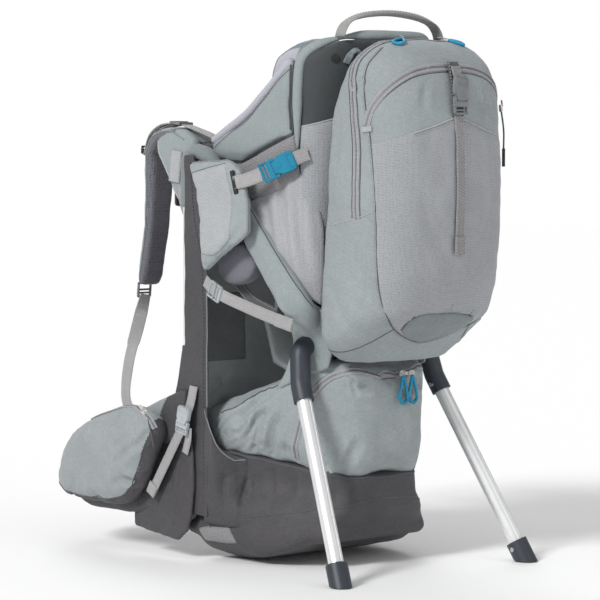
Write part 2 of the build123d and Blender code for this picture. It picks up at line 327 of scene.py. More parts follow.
def zipper(name, skin, line, body, width, both=False):
    """A zip: its sewn tape and the row of teeth along its middle."""
    thick, hem = 1.4, width / 2 - 2.0
    tapes = []
    for places in runs(line, both):
        path, outs = skin.settle(resample(places, 5.0), -0.3)
        tapes.append(sweep(path, outs, flat_profile(width, thick)))
        top = [p + o * thick * MM for p, o in zip(path, outs)]
        stitch(top, outs, body, hem)
        stitch(top, outs, body, -hem)
    finish_piece(mesh_object(name + "_tape", *merged(tapes)), "zip_tape", body, sharp=40)
    for places in runs(line, both):
        path, outs = skin.settle(resample(places, 1.7), 1.2)
        sides = [(b - a).normalized().cross(out) for (a, b), out in zip(neighbours(path), outs)]
        add_boxes((body, "zip_teeth"), path, sides, outs, (2.6, 0.9, 0.9))


def webbing(name, path, outs, body, width, thick=1.8, replaces=(), material="webbing", sewn=True, both=False):
    """A free run of webbing through given points, flat side towards outs, with sewn edges."""
    outs = [Vector(o).normalized() for o in outs]
    rich = resample(path, 5.0)
    ups = []
    for p in rich:
        low = min(min(range(len(path)), key=lambda i: (path[i] - p).length), len(path) - 2)
        edge = path[low + 1] - path[low]
        t = min(1.0, max(0.0, (p - path[low]).dot(edge) / edge.length_squared))
        ups.append(outs[low].lerp(outs[low + 1], t).normalized())
    profile = [(u, v - thick / 2) for u, v in flat_profile(width, thick)]
    hem = width / 2 - 1.6
    parts = []
    for run, tops in zip(runs(rich, both), runs(ups, both)):
        parts.append(sweep(run, tops, profile))
        if sewn:
            upper = [p + o * thick / 2 * MM for p, o in zip(run, tops)]
            stitch(upper, tops, body, hem, 2.2, 2.0)
            stitch(upper, tops, body, -hem, 2.2, 2.0)
    return finish_piece(mesh_object(name, *merged(parts)), material, body, replaces, sharp=40)


# ---------------------------------------------------------------- soft forms
CLOTH_FRAMES = 20


def soft_form(name, source, voxel=4.0, rounds=6, grow=0.0):
    """A rounded soft form that starts from the frame's own solids."""
    bm = bmesh.new()
    for node in source:
        bm.from_mesh(nodes[node].data)
    mesh = bpy.data.meshes.new(name)
    bm.to_mesh(mesh)
    bm.free()
    obj = new_object(name, mesh)
    return remeshed(obj, voxel, rounds, grow)


def remeshed(obj, voxel, rounds, grow):
    """Gives a form an even mesh, rounds it and lets it grow outwards."""
    remesh = obj.modifiers.new("Remesh", "REMESH")
    remesh.mode = "VOXEL"
    remesh.voxel_size = voxel * MM
    bake(obj)
    relax(obj.data, rounds)
    if grow:
        swell(obj.data, grow)
    return obj


def fair(line, rounds=2, closed=True):
    """Cuts the corners of an outline so that it runs smoothly."""
    for _ in range(rounds):
        pairs = zip(line, line[1:] + (line[:1] if closed else []))
        cut = [tuple(a * s + b * (1 - s) for a, b in zip(p, q)) for p, q in pairs for s in (0.75, 0.25)]
        line = cut if closed else [line[0]] + cut[1:-1] + [line[-1]]
    return line


def slab_form(name, outline, low, high, voxel, rounds, grow=0.0, soften=0):
    """A rounded soft form from a (y, z) outline between two x."""
    outline = fair(outline, soften)
    count = len(outline)
    verts = [at(x, y, z) for x in (low, high) for y, z in outline]
    faces = [tuple(range(count)), tuple(range(2 * count - 1, count - 1, -1))]
    faces += [(i, (i + 1) % count, count + (i + 1) % count, count + i) for i in range(count)]
    obj = mesh_object(name, verts, faces)
    face_outwards(obj.data)
    return remeshed(obj, voxel, rounds, grow)


def inflate(obj, pressure, cap, slack=0.0):
    """Blows a form up as cloth and keeps each point within the cap."""
    before = read(obj.data)
    cloth = obj.modifiers.new("Cloth", "CLOTH")
    settings = cloth.settings
    settings.quality = 4
    settings.use_pressure = True
    settings.uniform_pressure_force = pressure
    settings.effector_weights.gravity = 0
    settings.shrink_min = -slack
    settings.bending_stiffness = 0.4
    cloth.point_cache.frame_start = 1
    cloth.point_cache.frame_end = CLOTH_FRAMES
    for number in range(1, CLOTH_FRAMES + 1):
        scene.frame_set(number)
    grown = obj.evaluated_get(bpy.context.evaluated_depsgraph_get()).to_mesh()
    move = read(grown) - before
    obj.modifiers.clear()
    scene.frame_set(1)
    length = np.linalg.norm(move, axis=1, keepdims=True) + 1e-9
    write(obj.data, before + move * np.minimum(1, cap * MM / length))
    relax(obj.data, 1)


def subdivide(obj):
    fine = obj.modifiers.new("Subdivision", "SUBSURF")
    fine.levels = fine.render_levels = 1
    bake(obj)


def crease(obj, folds, width=5.0, depth=2.5):
    """Presses fold lines into a form, with a soft ridge on each side of them."""
    mesh = obj.data
    co = read(mesh)
    outs = normals_of(mesh)
    push = np.zeros(len(co))
    skin = Skin(obj)
    for line in folds:
        path = np.array([list(p) for p in skin.settle(resample(line, 3.0), 0.0)[0]])
        reach = np.full(len(co), 9.0)
        where = np.zeros(len(co))
        for k, p in enumerate(path):
            gap = np.linalg.norm(co - p, axis=1)
            closer = gap < reach
            reach[closer] = gap[closer]
            where[closer] = k / max(1, len(path) - 1)
        x = reach / (width * MM)
        fade = np.sin(np.pi * np.clip(where * 0.86 + 0.07, 0, 1)) ** 0.7
        push += fade * (0.55 * np.exp(-((x - 1.7) ** 2) * 1.6) - np.exp(-x * x))
    write(mesh, co + outs * (push * depth * MM)[:, None])


def ripple(obj, depth=0.8, size=35.0, seed=0.0):
    """Low, irregular waves, so that no cloth face is dead flat."""
    co = read(obj.data)
    k = 2 * math.pi / (size * MM)
    x, y, z = co[:, 0] + seed * MM, co[:, 1] - 2 * seed * MM, co[:, 2] + 3 * seed * MM
    wave = np.sin(k * (x + 0.6 * z) + 1.7 * np.sin(k * 0.43 * y + seed))
    wave += 0.7 * np.sin(k * 1.31 * (y - 0.5 * z) + 1.3 * np.sin(k * 0.61 * x + 2 * seed))
    wave += 0.5 * np.sin(k * 2.1 * (z + 0.3 * x - 0.4 * y) + seed)
    write(obj.data, co + normals_of(obj.data) * (wave * depth * MM / 2)[:, None])


def paint_region(obj, material, test):
    """Gives the faces whose middle passes a test a second material."""
    obj.data.materials.append(MATERIALS[material])
    for face in obj.data.polygons:
        centre = face.center / MM
        if test(centre.x, centre.y - CENTRE_Y, centre.z):
            face.material_index = 1


def coons(low, high, left, right, columns, rows):
    """A grid of places inside four edge lines: low and high run across it, left and right run up it."""
    def along(edge, t):
        spot = t * (len(edge) - 1)
        i = min(int(spot), len(edge) - 2)
        return edge[i].lerp(edge[i + 1], spot - i)

    low, high, left, right = (resample(e, 3.0) for e in (low, high, left, right))
    grid = []
    for j in range(rows + 1):
        v = j / rows
        for i in range(columns + 1):
            u = i / columns
            edges = along(low, u) * (1 - v) + along(high, u) * v + along(left, v) * (1 - u)
            edges += along(right, v) * u
            corners = (low[0] * (1 - u) + low[-1] * u) * (1 - v) + (high[0] * (1 - u) + high[-1] * u) * v
            grid.append(edges - corners)
    return grid


def patch(name, grid, columns, rows, outs, thick, crown):
    """A closed sewn panel over a grid of places: thin at its edges and crowned between them."""
    hem, sunk = 0.12, 1.2
    count = (columns + 1) * (rows + 1)
    verts = []
    for side in (1, 0):
        for n, (place, out) in enumerate(zip(grid, outs)):
            u, v = (n % (columns + 1)) / columns, (n // (columns + 1)) / rows
            rim = min(1.0, min(u, 1 - u, v, 1 - v) / hem)
            rise = (0.25 + 0.75 * math.sqrt(rim * (2 - rim))) * thick
            rise += crown * math.sin(math.pi * u) * math.sin(math.pi * v)
            verts.append(place + out * (rise if side else -sunk) * MM)
    faces = []
    wide = columns + 1
    for j in range(rows):
        for i in range(columns):
            a = j * wide + i
            faces.append((a, a + 1, a + wide + 1, a + wide))
            faces.append((count + a, count + a + wide, count + a + wide + 1, count + a + 1))
    rim_loop = list(range(wide)) + [j * wide + columns for j in range(1, rows + 1)]
    rim_loop += [rows * wide + i for i in range(columns - 1, -1, -1)]
    rim_loop += [j * wide for j in range(rows - 1, 0, -1)]
    for a, b in zip(rim_loop, rim_loop[1:] + rim_loop[:1]):
        faces.append((b, a, count + a, count + b))
    return mesh_object(name, verts, faces)


def skin_patch(name, skin, edges, columns, rows, body, material, thick=1.6, crown=1.0, both=False,
               replaces=(), lift=0.0, toward=None):
    """A sewn panel laid on a surface inside four edge lines."""
    grid = coons(*edges, columns, rows)
    made = []
    for places, (_, label) in zip(runs(grid, both), SIDES):
        if toward is None:
            hits = [skin.tree.find_nearest(p) for p in places]
        else:
            way = Vector(toward).normalized()
            hits = [skin.tree.ray_cast(p - way * 80 * MM, way) for p in places]
            hits = [h if h[0] else skin.tree.find_nearest(p) for h, p in zip(hits, places)]
        hits = [(h[0] + h[1] * lift * MM, h[1]) for h in hits]
        obj = patch(name + "_" + label if both else name, [h[0] for h in hits], columns, rows,
                    [h[1] for h in hits], thick, crown)
        made.append(finish_piece(obj, material, body, replaces))
    return made


def panels(name, grid, columns, rows, outs, thick, crown, material, body, shape=None):
    """A sewn panel over a grid of places on the left, and its mirror image on the right."""
    made = []
    for side, label in SIDES:
        obj = patch(name + "_" + label, on_side(grid, side), columns, rows, on_side(outs, side), thick, crown)
        if shape:
            shape(obj, side)
        made.append(finish_piece(obj, material, body))
    return made


# ---------------------------------------------------------------- hard parts
def axes(along, out):
    """A local frame: X along, Z out."""
    x = Vector(along).normalized()
    z = (Vector(out) - x * Vector(out).dot(x)).normalized()
    return Matrix((x, z.cross(x), z)).transposed()


class Moulding:
    """Collects bevelled blocks and prisms, in millimetres of a local frame, into one moulded part."""

    def __init__(self, centre, along, out):
        self.bm = bmesh.new()
        self.place = Matrix.Translation(centre) @ axes(along, out).to_4x4() @ Matrix.Scale(MM, 4)

    def prism(self, outline, low, high, bevel=0.8):
        bottom = [self.bm.verts.new((x, y, low)) for x, y in outline]
        top = [self.bm.verts.new((x, y, high)) for x, y in outline]
        count = len(outline)
        made = [self.bm.faces.new(bottom[::-1]), self.bm.faces.new(top)]
        for i in range(count):
            j = (i + 1) % count
            made.append(self.bm.faces.new((bottom[i], bottom[j], top[j], top[i])))
        if bevel:
            edges = list(dict.fromkeys(e for f in made for e in f.edges))
            bmesh.ops.bevel(self.bm, geom=edges, offset=bevel, segments=2, affect="EDGES", clamp_overlap=True)

    def block(self, x, y, z, size, bevel=0.8):
        a, b, c = (s / 2 for s in size)
        outline = [(x - a, y - b), (x + a, y - b), (x + a, y + b), (x - a, y + b)]
        self.prism(outline, z - c, z + c, bevel)

    def make(self, name, material, body, replaces=()):
        mesh = bpy.data.meshes.new(name)
        self.bm.transform(self.place)
        self.bm.to_mesh(mesh)
        self.bm.free()
        return finish_piece(new_object(name, mesh), material, body, replaces, sharp=32)


def side_release(name, centre, along, out, length, width, material, body, replaces=()):
    """A side-release buckle: socket, plug with its two squeeze arms, and the bars that hold the webbing."""
    half, wide, thick = length / 2, width / 2, 7.0
    part = Moulding(centre, along, out)
    socket = [(-half, -wide * 0.86), (-half, wide * 0.86), (-half * 0.82, wide), (-half * 0.1, wide),
              (0.0, wide * 0.66), (half * 0.3, wide * 0.66), (half * 0.3, -wide * 0.66), (0.0, -wide * 0.66),
              (-half * 0.1, -wide), (-half * 0.82, -wide)]
    part.prism(socket, -thick / 2, thick / 2, 1.1)
    for side in (-1, 1):
        arm = [(0.02 * half, side * wide * 0.7), (0.3 * half, side * wide * 0.7),
               (0.44 * half, side * wide * 1.02), (0.14 * half, side * wide * 1.04)]
        part.prism(arm[::side], -thick * 0.34, thick * 0.34, 0.5)
    plug = [(half * 0.3, -wide * 0.92), (half * 0.3, wide * 0.92), (half * 0.55, wide), (half * 0.62, wide),
            (half * 0.62, -wide), (half * 0.55, -wide)]
    part.prism(plug[::-1], -thick * 0.42, thick * 0.42, 0.9)
    for side in (-1, 1):
        part.block(half * 0.8, side * (wide - 1.6), 0, (half * 0.4, 3.2, thick * 0.6), 0.7)
        part.block(-half * 0.78, side * wide * 0.66, thick / 2, (half * 0.3, 2.0, 1.4), 0.5)
    part.block(half * 0.97, 0, 0, (3.2, width, thick * 0.6), 0.9)
    part.block(half * 0.78, 0, -thick * 0.1, (2.6, width - 2, thick * 0.4), 0.7)
    part.block(-half * 0.6, 0, thick / 2, (2.6, width * 0.74, 1.8), 0.7)
    part.block(-half * 0.93, 0, thick / 2, (2.4, width * 0.74, 1.6), 0.7)
    press = [(0.5, -3.4), (2.2, 0), (0.5, 3.4), (-4.5, 2.2), (-4.5, -2.2)]
    part.prism(press, thick / 2 - 0.6, thick / 2 + 0.7, 0.5)
    part.make(name, material, body, replaces)


def ladderlock(name, centre, along, out, length, width, material, body):
    """A webbing adjuster: a frame with two cross bars, the front one lifted as a thumb tab."""
    half, wide, thick = length / 2, width / 2, 4.0
    part = Moulding(centre, along, out)
    for side in (-1, 1):
        part.block(0, side * (wide - 1.4), 0, (length, 2.8, thick), 0.8)
    for x, z in ((-half + 1.4, 0), (0, thick * 0.3), (half * 0.42, 0)):
        part.block(x, 0, z, (2.8, width, thick * 0.8), 0.8)
    part.prism([(half * 0.7, -wide), (half * 1.1, -wide * 0.8), (half * 1.1, wide * 0.8), (half * 0.7, wide)],
               -thick * 0.1, thick * 0.5, 0.7)
    part.make(name, material, body)


def zip_slider(name, place, along, out, body, replaces=()):
    """A zip's slider: its body, bridge and pull tab."""
    part = Moulding(place, along, out)
    part.prism([(-5, -3.2), (-5, 3.2), (3, 4.2), (5.5, 2.0), (5.5, -2.0), (3, -4.2)][::-1], -0.6, 1.6, 0.5)
    part.block(0.5, 0, 3.0, (6.5, 2.0, 2.0), 0.6)
    part.block(-6.5, 0, 3.6, (9, 4.6, 1.1), 0.4)
    part.make(name, "metal_bright", body, replaces)


def cord_loop(name, line, out, body, radius, material="cord_blue", closed=False):
    """A short moulded or knotted cord pull through given places."""
    path = resample(line, 1.5, closed)
    form = sweep(path, [Vector(out)] * len(path), oval(radius, radius, 8), closed)
    finish_piece(mesh_object(name, *form), material, body)


# ---------------------------------------------------------------- materials
class Nodes:
    """Shorthand for building a material's node tree."""

    def __init__(self, name):
        self.material = bpy.data.materials.new(name)
        self.material.use_nodes = True
        self.tree = self.material.node_tree
        self.shader = self.tree.nodes["Principled BSDF"]
        self.place = self.tree.nodes.new("ShaderNodeTexCoord").outputs["Object"]

    def add(self, kind, links=(), **settings):
        node = self.tree.nodes.new(kind)
        for key, value in settings.items():
            setattr(node, key, value)
        for socket, source in links:
            if hasattr(source, "is_output"):
                self.tree.links.new(source, node.inputs[socket])
            else:
                node.inputs[socket].default_value = source
        return node

    def math(self, operation, a, b=0.0):
        return self.add("ShaderNodeMath", [(0, a), (1, b)], operation=operation).outputs[0]

    def noise(self, scale, detail=3.0, roughness=0.55):
        made = self.add("ShaderNodeTexNoise", [("Vector", self.place), ("Scale", scale), ("Detail", detail),
                                               ("Roughness", roughness)])
        return made.outputs[0]

    def spread(self, value, low, high):
        """Maps the middle of a noise onto a range."""
        made = self.add("ShaderNodeMapRange", [(0, value), (1, 0.3), (2, 0.7), (3, low), (4, high)])
        return made.outputs[0]

    def threads(self, pitch, across):
        """Irregular threads about a pitch apart, running up the cloth or across it."""
        fine, long = 800.0 / pitch, 90.0
        scale = (long, long, fine) if across else (fine, fine, long)
        turned = self.add("ShaderNodeMapping", [("Vector", self.place), ("Scale", scale)]).outputs[0]
        made = self.add("ShaderNodeTexNoise", [("Vector", turned), ("Scale", 1.0), ("Detail", 1.0)])
        return self.spread(made.outputs[0], 0.0, 1.0)

    def stripes(self, pitch, way):
        """Even ribs a pitch apart, square to a direction."""
        run = self.add("ShaderNodeVectorMath", [(0, self.place), (1, way)], operation="DOT_PRODUCT")
        turns = self.math("MULTIPLY", run.outputs["Value"], 2 * math.pi / (pitch * MM))
        return self.math("MULTIPLY", self.math("ADD", self.math("SINE", turns), 1.0), 0.5)

    def colour(self, base, shade):
        """The base colour, lightened and darkened by a value around 1."""
        made = self.add("ShaderNodeVectorMath", [(0, base[:3]), (3, 1.0)], operation="SCALE")
        self.tree.links.new(shade, made.inputs[3])
        self.tree.links.new(made.outputs[0], self.shader.inputs["Base Color"])

    def bump(self, height, distance):
        made = self.add("ShaderNodeBump", [("Height", height), ("Distance", distance * MM),
                                           ("Strength", 1.0)])
        self.tree.links.new(made.outputs[0], self.shader.inputs["Normal"])

    def finish(self, rough, metal=0.0, sheen=0.0, coat=0.0):
        self.shader.inputs["Roughness"].default_value = rough
        self.shader.inputs["Metallic"].default_value = metal
        self.shader.inputs["Sheen Weight"].default_value = sheen
        self.shader.inputs["Sheen Roughness"].default_value = 0.4
        self.shader.inputs["Coat Weight"].default_value = coat
        return self.material


def woven(name, base, pitch=1.1, depth=0.25, mottle=0.07, rib=None, line=0.07, sheen=0.15, rough=0.78,
          grain=0.05):
    """Woven cloth: warp and weft, an optional heavier rib, fibre grain and slow colour variation."""
    n = Nodes(name)
    warp = n.threads(pitch, False)
    weft = n.threads(pitch * 0.92, True)
    weave = n.math("MULTIPLY", warp, weft)
    fibre = n.noise(900.0, 2.0)
    height = n.math("ADD", weave, n.math("MULTIPLY", fibre, 0.5))
    if rib:
        grid = n.math("MAXIMUM", n.math("POWER", n.stripes(rib, (-0.55, 0.83, 0.9)), 8.0),
                      n.math("POWER", n.stripes(rib, (0.35, -0.4, 0.9)), 8.0))
        height = n.math("ADD", height, n.math("MULTIPLY", grid, 0.8))
    slow = n.spread(n.noise(7.0), 1 - mottle, 1 + mottle)
    fine = n.spread(n.noise(160.0, 4.0, 0.7), 1 - grain, 1 + grain)
    lit = n.math("ADD", n.math("MULTIPLY", weave, 0.16), 0.96)
    shade = n.math("MULTIPLY", n.math("MULTIPLY", slow, fine), lit)
    if rib:
        shade = n.math("MULTIPLY", shade, n.math("ADD", n.math("MULTIPLY", grid, line), 1.0 - line * 0.2))
    n.colour(base, shade)
    n.bump(height, depth)
    return n.finish(rough, sheen=sheen)


def mesh_cloth(name, base, pitch, depth, dark=0.35):
    """Spacer mesh: rows of small open cells over a darker ground, with painted shade darkening the cells."""
    n = Nodes(name)
    cells = n.add("ShaderNodeTexVoronoi", [("Vector", n.place), ("Scale", 1000.0 / pitch),
                                           ("Randomness", 0.35)])
    open_cell = n.math("SUBTRACT", 1.0, n.math("MULTIPLY", cells.outputs["Distance"], 1.5))
    hole = n.math("POWER", n.math("MAXIMUM", open_cell, 0.0), 3.0)
    slow = n.spread(n.noise(8.0), 0.94, 1.06)
    # the open cells are darkened: painted shade inside them
    shade = n.math("MULTIPLY", slow, n.math("SUBTRACT", 1.08, n.math("MULTIPLY", hole, dark)))
    n.colour(base, shade)
    n.bump(n.math("SUBTRACT", 1.0, hole), depth)
    return n.finish(0.85, sheen=0.3)


def ribbed_mesh(name, base, pitch=3.2, depth=0.5, dark=0.26):
    """Stretch mesh: small open cells in courses, with painted shade in the cells and between the courses."""
    n = Nodes(name)
    cells = n.add("ShaderNodeTexVoronoi", [("Vector", n.place), ("Scale", 1000.0 / pitch),
                                           ("Randomness", 0.55)])
    open_cell = n.math("SUBTRACT", 1.0, n.math("MULTIPLY", cells.outputs["Distance"], 1.4))
    hole = n.math("POWER", n.math("MAXIMUM", open_cell, 0.0), 2.0)
    course = n.stripes(pitch * 1.15, (0.12, -0.1, 1.0))
    slow = n.spread(n.noise(6.0), 0.94, 1.06)
    # the open cells and the lines between the courses are darkened as painted shade
    gap = n.math("ADD", n.math("MULTIPLY", hole, dark), n.math("MULTIPLY", course, dark * 0.35))
    n.colour(base, n.math("MULTIPLY", slow, n.math("SUBTRACT", 1.1, gap)))
    n.bump(n.math("SUBTRACT", 1.0, hole), depth)
    return n.finish(0.84, sheen=0.15)


def moulded(name, base, rough=0.5, grain=0.12, coat=0.0):
    """Moulded plastic with a fine spark-eroded grain and slightly rubbed high spots."""
    n = Nodes(name)
    fine = n.noise(1400.0, 2.0)
    wear = n.spread(n.noise(30.0, 5.0, 0.65), 0.9, 1.12)
    n.colour(base, wear)
    n.bump(fine, grain)
    return n.finish(rough, coat=coat)


def metal(name, base, rough=0.32, shine=0.85, brushed=0.05):
    """Drawn or plated metal with faint drawing lines and handling marks."""
    n = Nodes(name)
    stretch = n.add("ShaderNodeMapping", [("Vector", n.place), ("Scale", (1400.0, 1400.0, 14.0))])
    lines = n.add("ShaderNodeTexNoise", [("Vector", stretch.outputs[0]), ("Scale", 1.0), ("Detail", 2.0)])
    marks = n.spread(n.noise(45.0, 5.0, 0.7), 0.95, 1.03)
    n.colour(base, marks)
    n.bump(lines.outputs[0], brushed)
    return n.finish(rough, metal=shine)


GREY = (0.285, 0.318, 0.325)
MATERIALS = {"shell": woven("shell_cloth", GREY, 1.4, 0.22, rib=6.0, line=0.05),
             "shell_dark": woven("shell_cloth_shaded", (0.2, 0.225, 0.232), 1.4, 0.22, rib=6.0, line=0.05),
             "ripstop": woven("ripstop_cloth", (0.355, 0.37, 0.38), 1.4, 0.35, rib=5.0, line=0.12),
             "hip_cloth": woven("hip_cloth", (0.278, 0.305, 0.31), 1.4, 0.3, mottle=0.1, rib=5.0, line=0.04),
             "smooth": woven("smooth_cloth", (0.27, 0.305, 0.31), 1.4, 0.12, mottle=0.05, grain=0.03),
             "mesh": ribbed_mesh("stretch_mesh", (0.315, 0.325, 0.342), dark=0.27),
             "mesh_light": ribbed_mesh("light_mesh", (0.355, 0.358, 0.377), 3.0),
             "lavender": ribbed_mesh("lavender_mesh", (0.40, 0.40, 0.45), 3.0, 0.35, 0.16),
             "spacer": mesh_cloth("spacer_mesh", (0.135, 0.133, 0.154), 4.4, 1.1, 0.75),
             "charcoal": woven("charcoal_cloth", (0.058, 0.055, 0.061), 1.6, 0.35, mottle=0.14, sheen=0.06,
                               rough=0.66, grain=0.12), "lining": woven("lining_cloth", (0.29, 0.31, 0.318),
                                                                        1.4, 0.15, mottle=0.12, sheen=0.1,
                                                                        rough=0.6),
             "lining_patch": woven("lining_patch_cloth", (0.14, 0.147, 0.15), 1.4, 0.15, mottle=0.1,
                                   sheen=0.1, rough=0.6), "shell_pad": woven("shaded_shell_pad_cloth",
                                                                             # the rear shell's cloth: its own
                                                                             # dark colour, made darker still
                                                                             # by painted shade from the
                                                                             # daypack above it
                                                                             (0.046, 0.053, 0.056), 1.4, 0.12,
                                                                             sheen=0.2, rough=0.75),
             "pad": mesh_cloth("pad_mesh", (0.11, 0.118, 0.128), 3.6, 0.5),
             "bolster": woven("bolster_cloth", (0.185, 0.222, 0.245), 1.4, 0.1, sheen=0.35, rough=0.85),
             "purple": woven("soft_purple_cloth", (0.15, 0.15, 0.18), 1.4, 0.1, sheen=0.35, rough=0.85),
             "webbing": woven("webbing", (0.36, 0.35, 0.355), 1.8, 0.5, mottle=0.06, rib=3.6, line=0.16,
                              rough=0.7), "webbing_dark": woven("dark_webbing", (0.10, 0.10, 0.11), 1.8, 0.5,
                                                                mottle=0.08, rib=3.6, line=0.12, rough=0.7),
             "webbing_mid": woven("mid_webbing", (0.25, 0.243, 0.252), 1.8, 0.6, mottle=0.06, rib=4.0,
                                  line=0.34, rough=0.7), "handle": woven("handle_webbing",
                                                                         (0.31, 0.315, 0.30), 1.6, 0.4,
                                                                         mottle=0.09, rib=4.0, line=0.1,
                                                                         rough=0.75),
             "binding": woven("binding_tape", (0.37, 0.38, 0.39), 1.4, 0.2, mottle=0.04),
             "seam": woven("seam_cord", (0.075, 0.08, 0.085), 1.2, 0.2),
             "zip_tape": woven("zip_tape", (0.345, 0.345, 0.372), 1.4, 0.25, mottle=0.04, rib=3.6, line=0.08),
             "zip_teeth": moulded("zip_teeth", (0.16, 0.165, 0.175), 0.35, 0.03),
             "thread_light": woven("light_thread", (0.36, 0.37, 0.37), 1.0, 0.1),
             "thread_dark": woven("dark_thread", (0.03, 0.03, 0.032), 1.0, 0.1),
             "grey_plastic": moulded("grey_plastic", (0.20, 0.212, 0.225), 0.4),
             "pale_plastic": moulded("pale_plastic", (0.40, 0.43, 0.45), 0.36),
             "blue_plastic": moulded("blue_plastic", (0.0, 0.2, 0.33), 0.34, coat=0.1),
             "dark_plastic": moulded("dark_plastic", (0.05, 0.053, 0.06), 0.42),
             "black_plastic": moulded("black_plastic", (0.018, 0.018, 0.02), 0.5),
             "slate_plastic": moulded("slate_plastic", (0.03, 0.037, 0.048), 0.42, 0.2),
             "cord_blue": woven("blue_cord", (0.0, 0.26, 0.45), 1.2, 0.3, sheen=0.1, rough=0.55),
             "cord_dark": woven("dark_cord", (0.09, 0.085, 0.08), 1.2, 0.3),
             "metal_bright": metal("zip_metal", (0.62, 0.60, 0.58), 0.28, 1.0),
             "aluminium": metal("satin_aluminium", (0.86, 0.865, 0.87), 0.34, 0.6, 0.03),
             "steel": metal("bright_steel", (0.72, 0.72, 0.73), 0.25, 1.0), }
CAD_FINISH = {"aluminium": ["frame_side_tube_left", "frame_side_tube_right", "frame_base_rail",
                            "frame_corner_sleeves", "frame_rear_strut", "frame_cross_bars", "kickstand_axle",
                            "kickstand_leg_left", "kickstand_leg_right"],
              "slate_plastic": ["kickstand_hub_left", "kickstand_hub_right", "kickstand_elbow_left",
                                "kickstand_elbow_right", "kickstand_foot_left", "kickstand_foot_right"],
              "steel": ["kickstand_screws"], "black_plastic": ["frame_sheet"], }


def finish_cad():
    for material, names in CAD_FINISH.items():
        for name in names:
            slots = nodes[name].data.materials
            slots.clear()
            slots.append(MATERIALS[material])


# ---------------------------------------------------------------- daypack
# height, half width, back Y, front Y, front corner radius
PACK_KEYS = [(285, 74, -247, -270, 14), (289, 92, -244, -281, 26), (297, 103, -241, -291, 42),
             (308, 113, -239, -305, 54), (322, 120, -239, -319, 60), (350, 123, -240, -356, 68),
             (400, 124.5, -245, -372, 70), (500, 125, -256, -379, 70), (610, 124, -263, -378, 70),
             (660, 119, -275, -372, 64), (690, 108, -285, -361, 54), (707, 93, -291, -346, 42),
             (715, 76, -296, -334, 28), (719, 58, -301, -325, 16)]


def pack_ring(height):
    """Interpolates the daypack's section sizes at a height."""
    for low, high in zip(PACK_KEYS, PACK_KEYS[1:]):
        if height <= high[0]:
            t = (height - low[0]) / (high[0] - low[0])
            return [a + (b - a) * t for a, b in zip(low[1:], high[1:])]
    return list(PACK_KEYS[-1][1:])


SECTION_POINTS = 120


def pack_section(height):
    """A D-shaped ring of places: square at the frame, rounded and slightly crowned in front."""
    half, back, front, corner = pack_ring(height)
    outline = [(0.0, back)]
    for turn in range(0, 91, 30):
        a = math.radians(turn)
        outline.append((-half + 8 - 8 * math.sin(a), back - 8 + 8 * math.cos(a)))
    for turn in range(0, 91, 10):
        a = math.radians(turn)
        outline.append((-half + corner - corner * math.cos(a), front + corner - corner * math.sin(a)))
    crown = 4.0 * min(1.0, (half - corner) / 50)
    outline += [(-(half - corner) * (1 - k / 6), front - crown * (1 - (1 - k / 6) ** 2)) for k in range(1, 7)]
    outline += [(-x, y) for x, y in reversed(outline[1:-1])]
    ring = [Vector((x, y, height)) for x, y in outline] + [Vector((outline[0][0], outline[0][1], height))]
    lengths = [0.0]
    for a, b in zip(ring, ring[1:]):
        lengths.append(lengths[-1] + (b - a).length)
    out = []
    i = 0
    for k in range(SECTION_POINTS):
        want = lengths[-1] * k / SECTION_POINTS
        while lengths[i + 1] < want:
            i += 1
        t = (want - lengths[i]) / (lengths[i + 1] - lengths[i])
        p = ring[i].lerp(ring[i + 1], t)
        out.append(at(p.x, p.y, p.z))
    return out


def daypack_shell():
    heights = [285, 287, 290, 295, 302] + list(range(310, 700, 6)) + [702, 707, 711, 715, 717.5, 719]
    rings = [pack_section(h) for h in heights]
    count = len(rings[0])
    verts = [p for ring in rings for p in ring]
    faces = []
    for j in range(len(rings) - 1):
        for k in range(count):
            n = (k + 1) % count
            faces.append((j * count + k, j * count + n, (j + 1) * count + n, (j + 1) * count + k))
    for level, ring in ((0, rings[0]), (len(rings) - 1, rings[-1])):
        centre = sum(ring, Vector()) / count
        inner = []
        for share in (0.66, 0.33):
            inner.append(len(verts))
            verts += [centre + (p - centre) * share + Vector((0, 0, (0.8 if level else -0.8) * MM))
                      for p in ring]
        hub = len(verts)
        verts.append(centre + Vector((0, 0, (1.2 if level else -1.0) * MM)))
        loops = [level * count] + inner
        for a, b in zip(loops, loops[1:]):
            faces += [(a + k, a + (k + 1) % count, b + (k + 1) % count, b + k) for k in range(count)]
        faces += [(inner[-1] + k, inner[-1] + (k + 1) % count, hub) for k in range(count)]
    obj = mesh_object("daypack_shell", verts, faces)
    relax(obj.data, 2)
    ripple(obj, 0.9, 60.0, 1.0)
    folds = [
        points((-124, -300, 470), (-122, -318, 420), (-112, -338, 380)),
        points((-120, -306, 380), (-108, -326, 350), (-88, -338, 338)),
        points((-123, -262, 400), (-118, -290, 345), (-96, -306, 318)),
        points((-122, -285, 620), (-123, -275, 560), (-124, -268, 500)),
        points((-118, -300, 648), (-112, -318, 660), (-106, -326, 672)),
        points((60, -372, 650), (68, -368, 630), (72, -372, 610)),
        points((40, -376, 655), (46, -376, 635), (50, -377, 618)),
        points((-50, -372, 660), (-56, -374, 645), (-58, -376, 625)),
        points((82, -362, 645), (90, -358, 625), (96, -360, 605)),
    ]
    crease(obj, folds + [mirrored(f) for f in folds[:5]], 6.0, 2.2)
    return finish_piece(obj, "shell", "daypack", ["daypack_body"])


FACE_LEFT = [(-84, -325, 708), (-100, -324, 695), (-111, -321, 678), (-117, -323, 660), (-119, -328, 632),
             (-118, -335, 600), (-117, -339, 565), (-115, -344, 500), (-113, -344, 430), (-107, -344, 380),
             (-95, -344, 354), (-70, -333, 333), (-37, -320, 320), (0, -312, 314)]


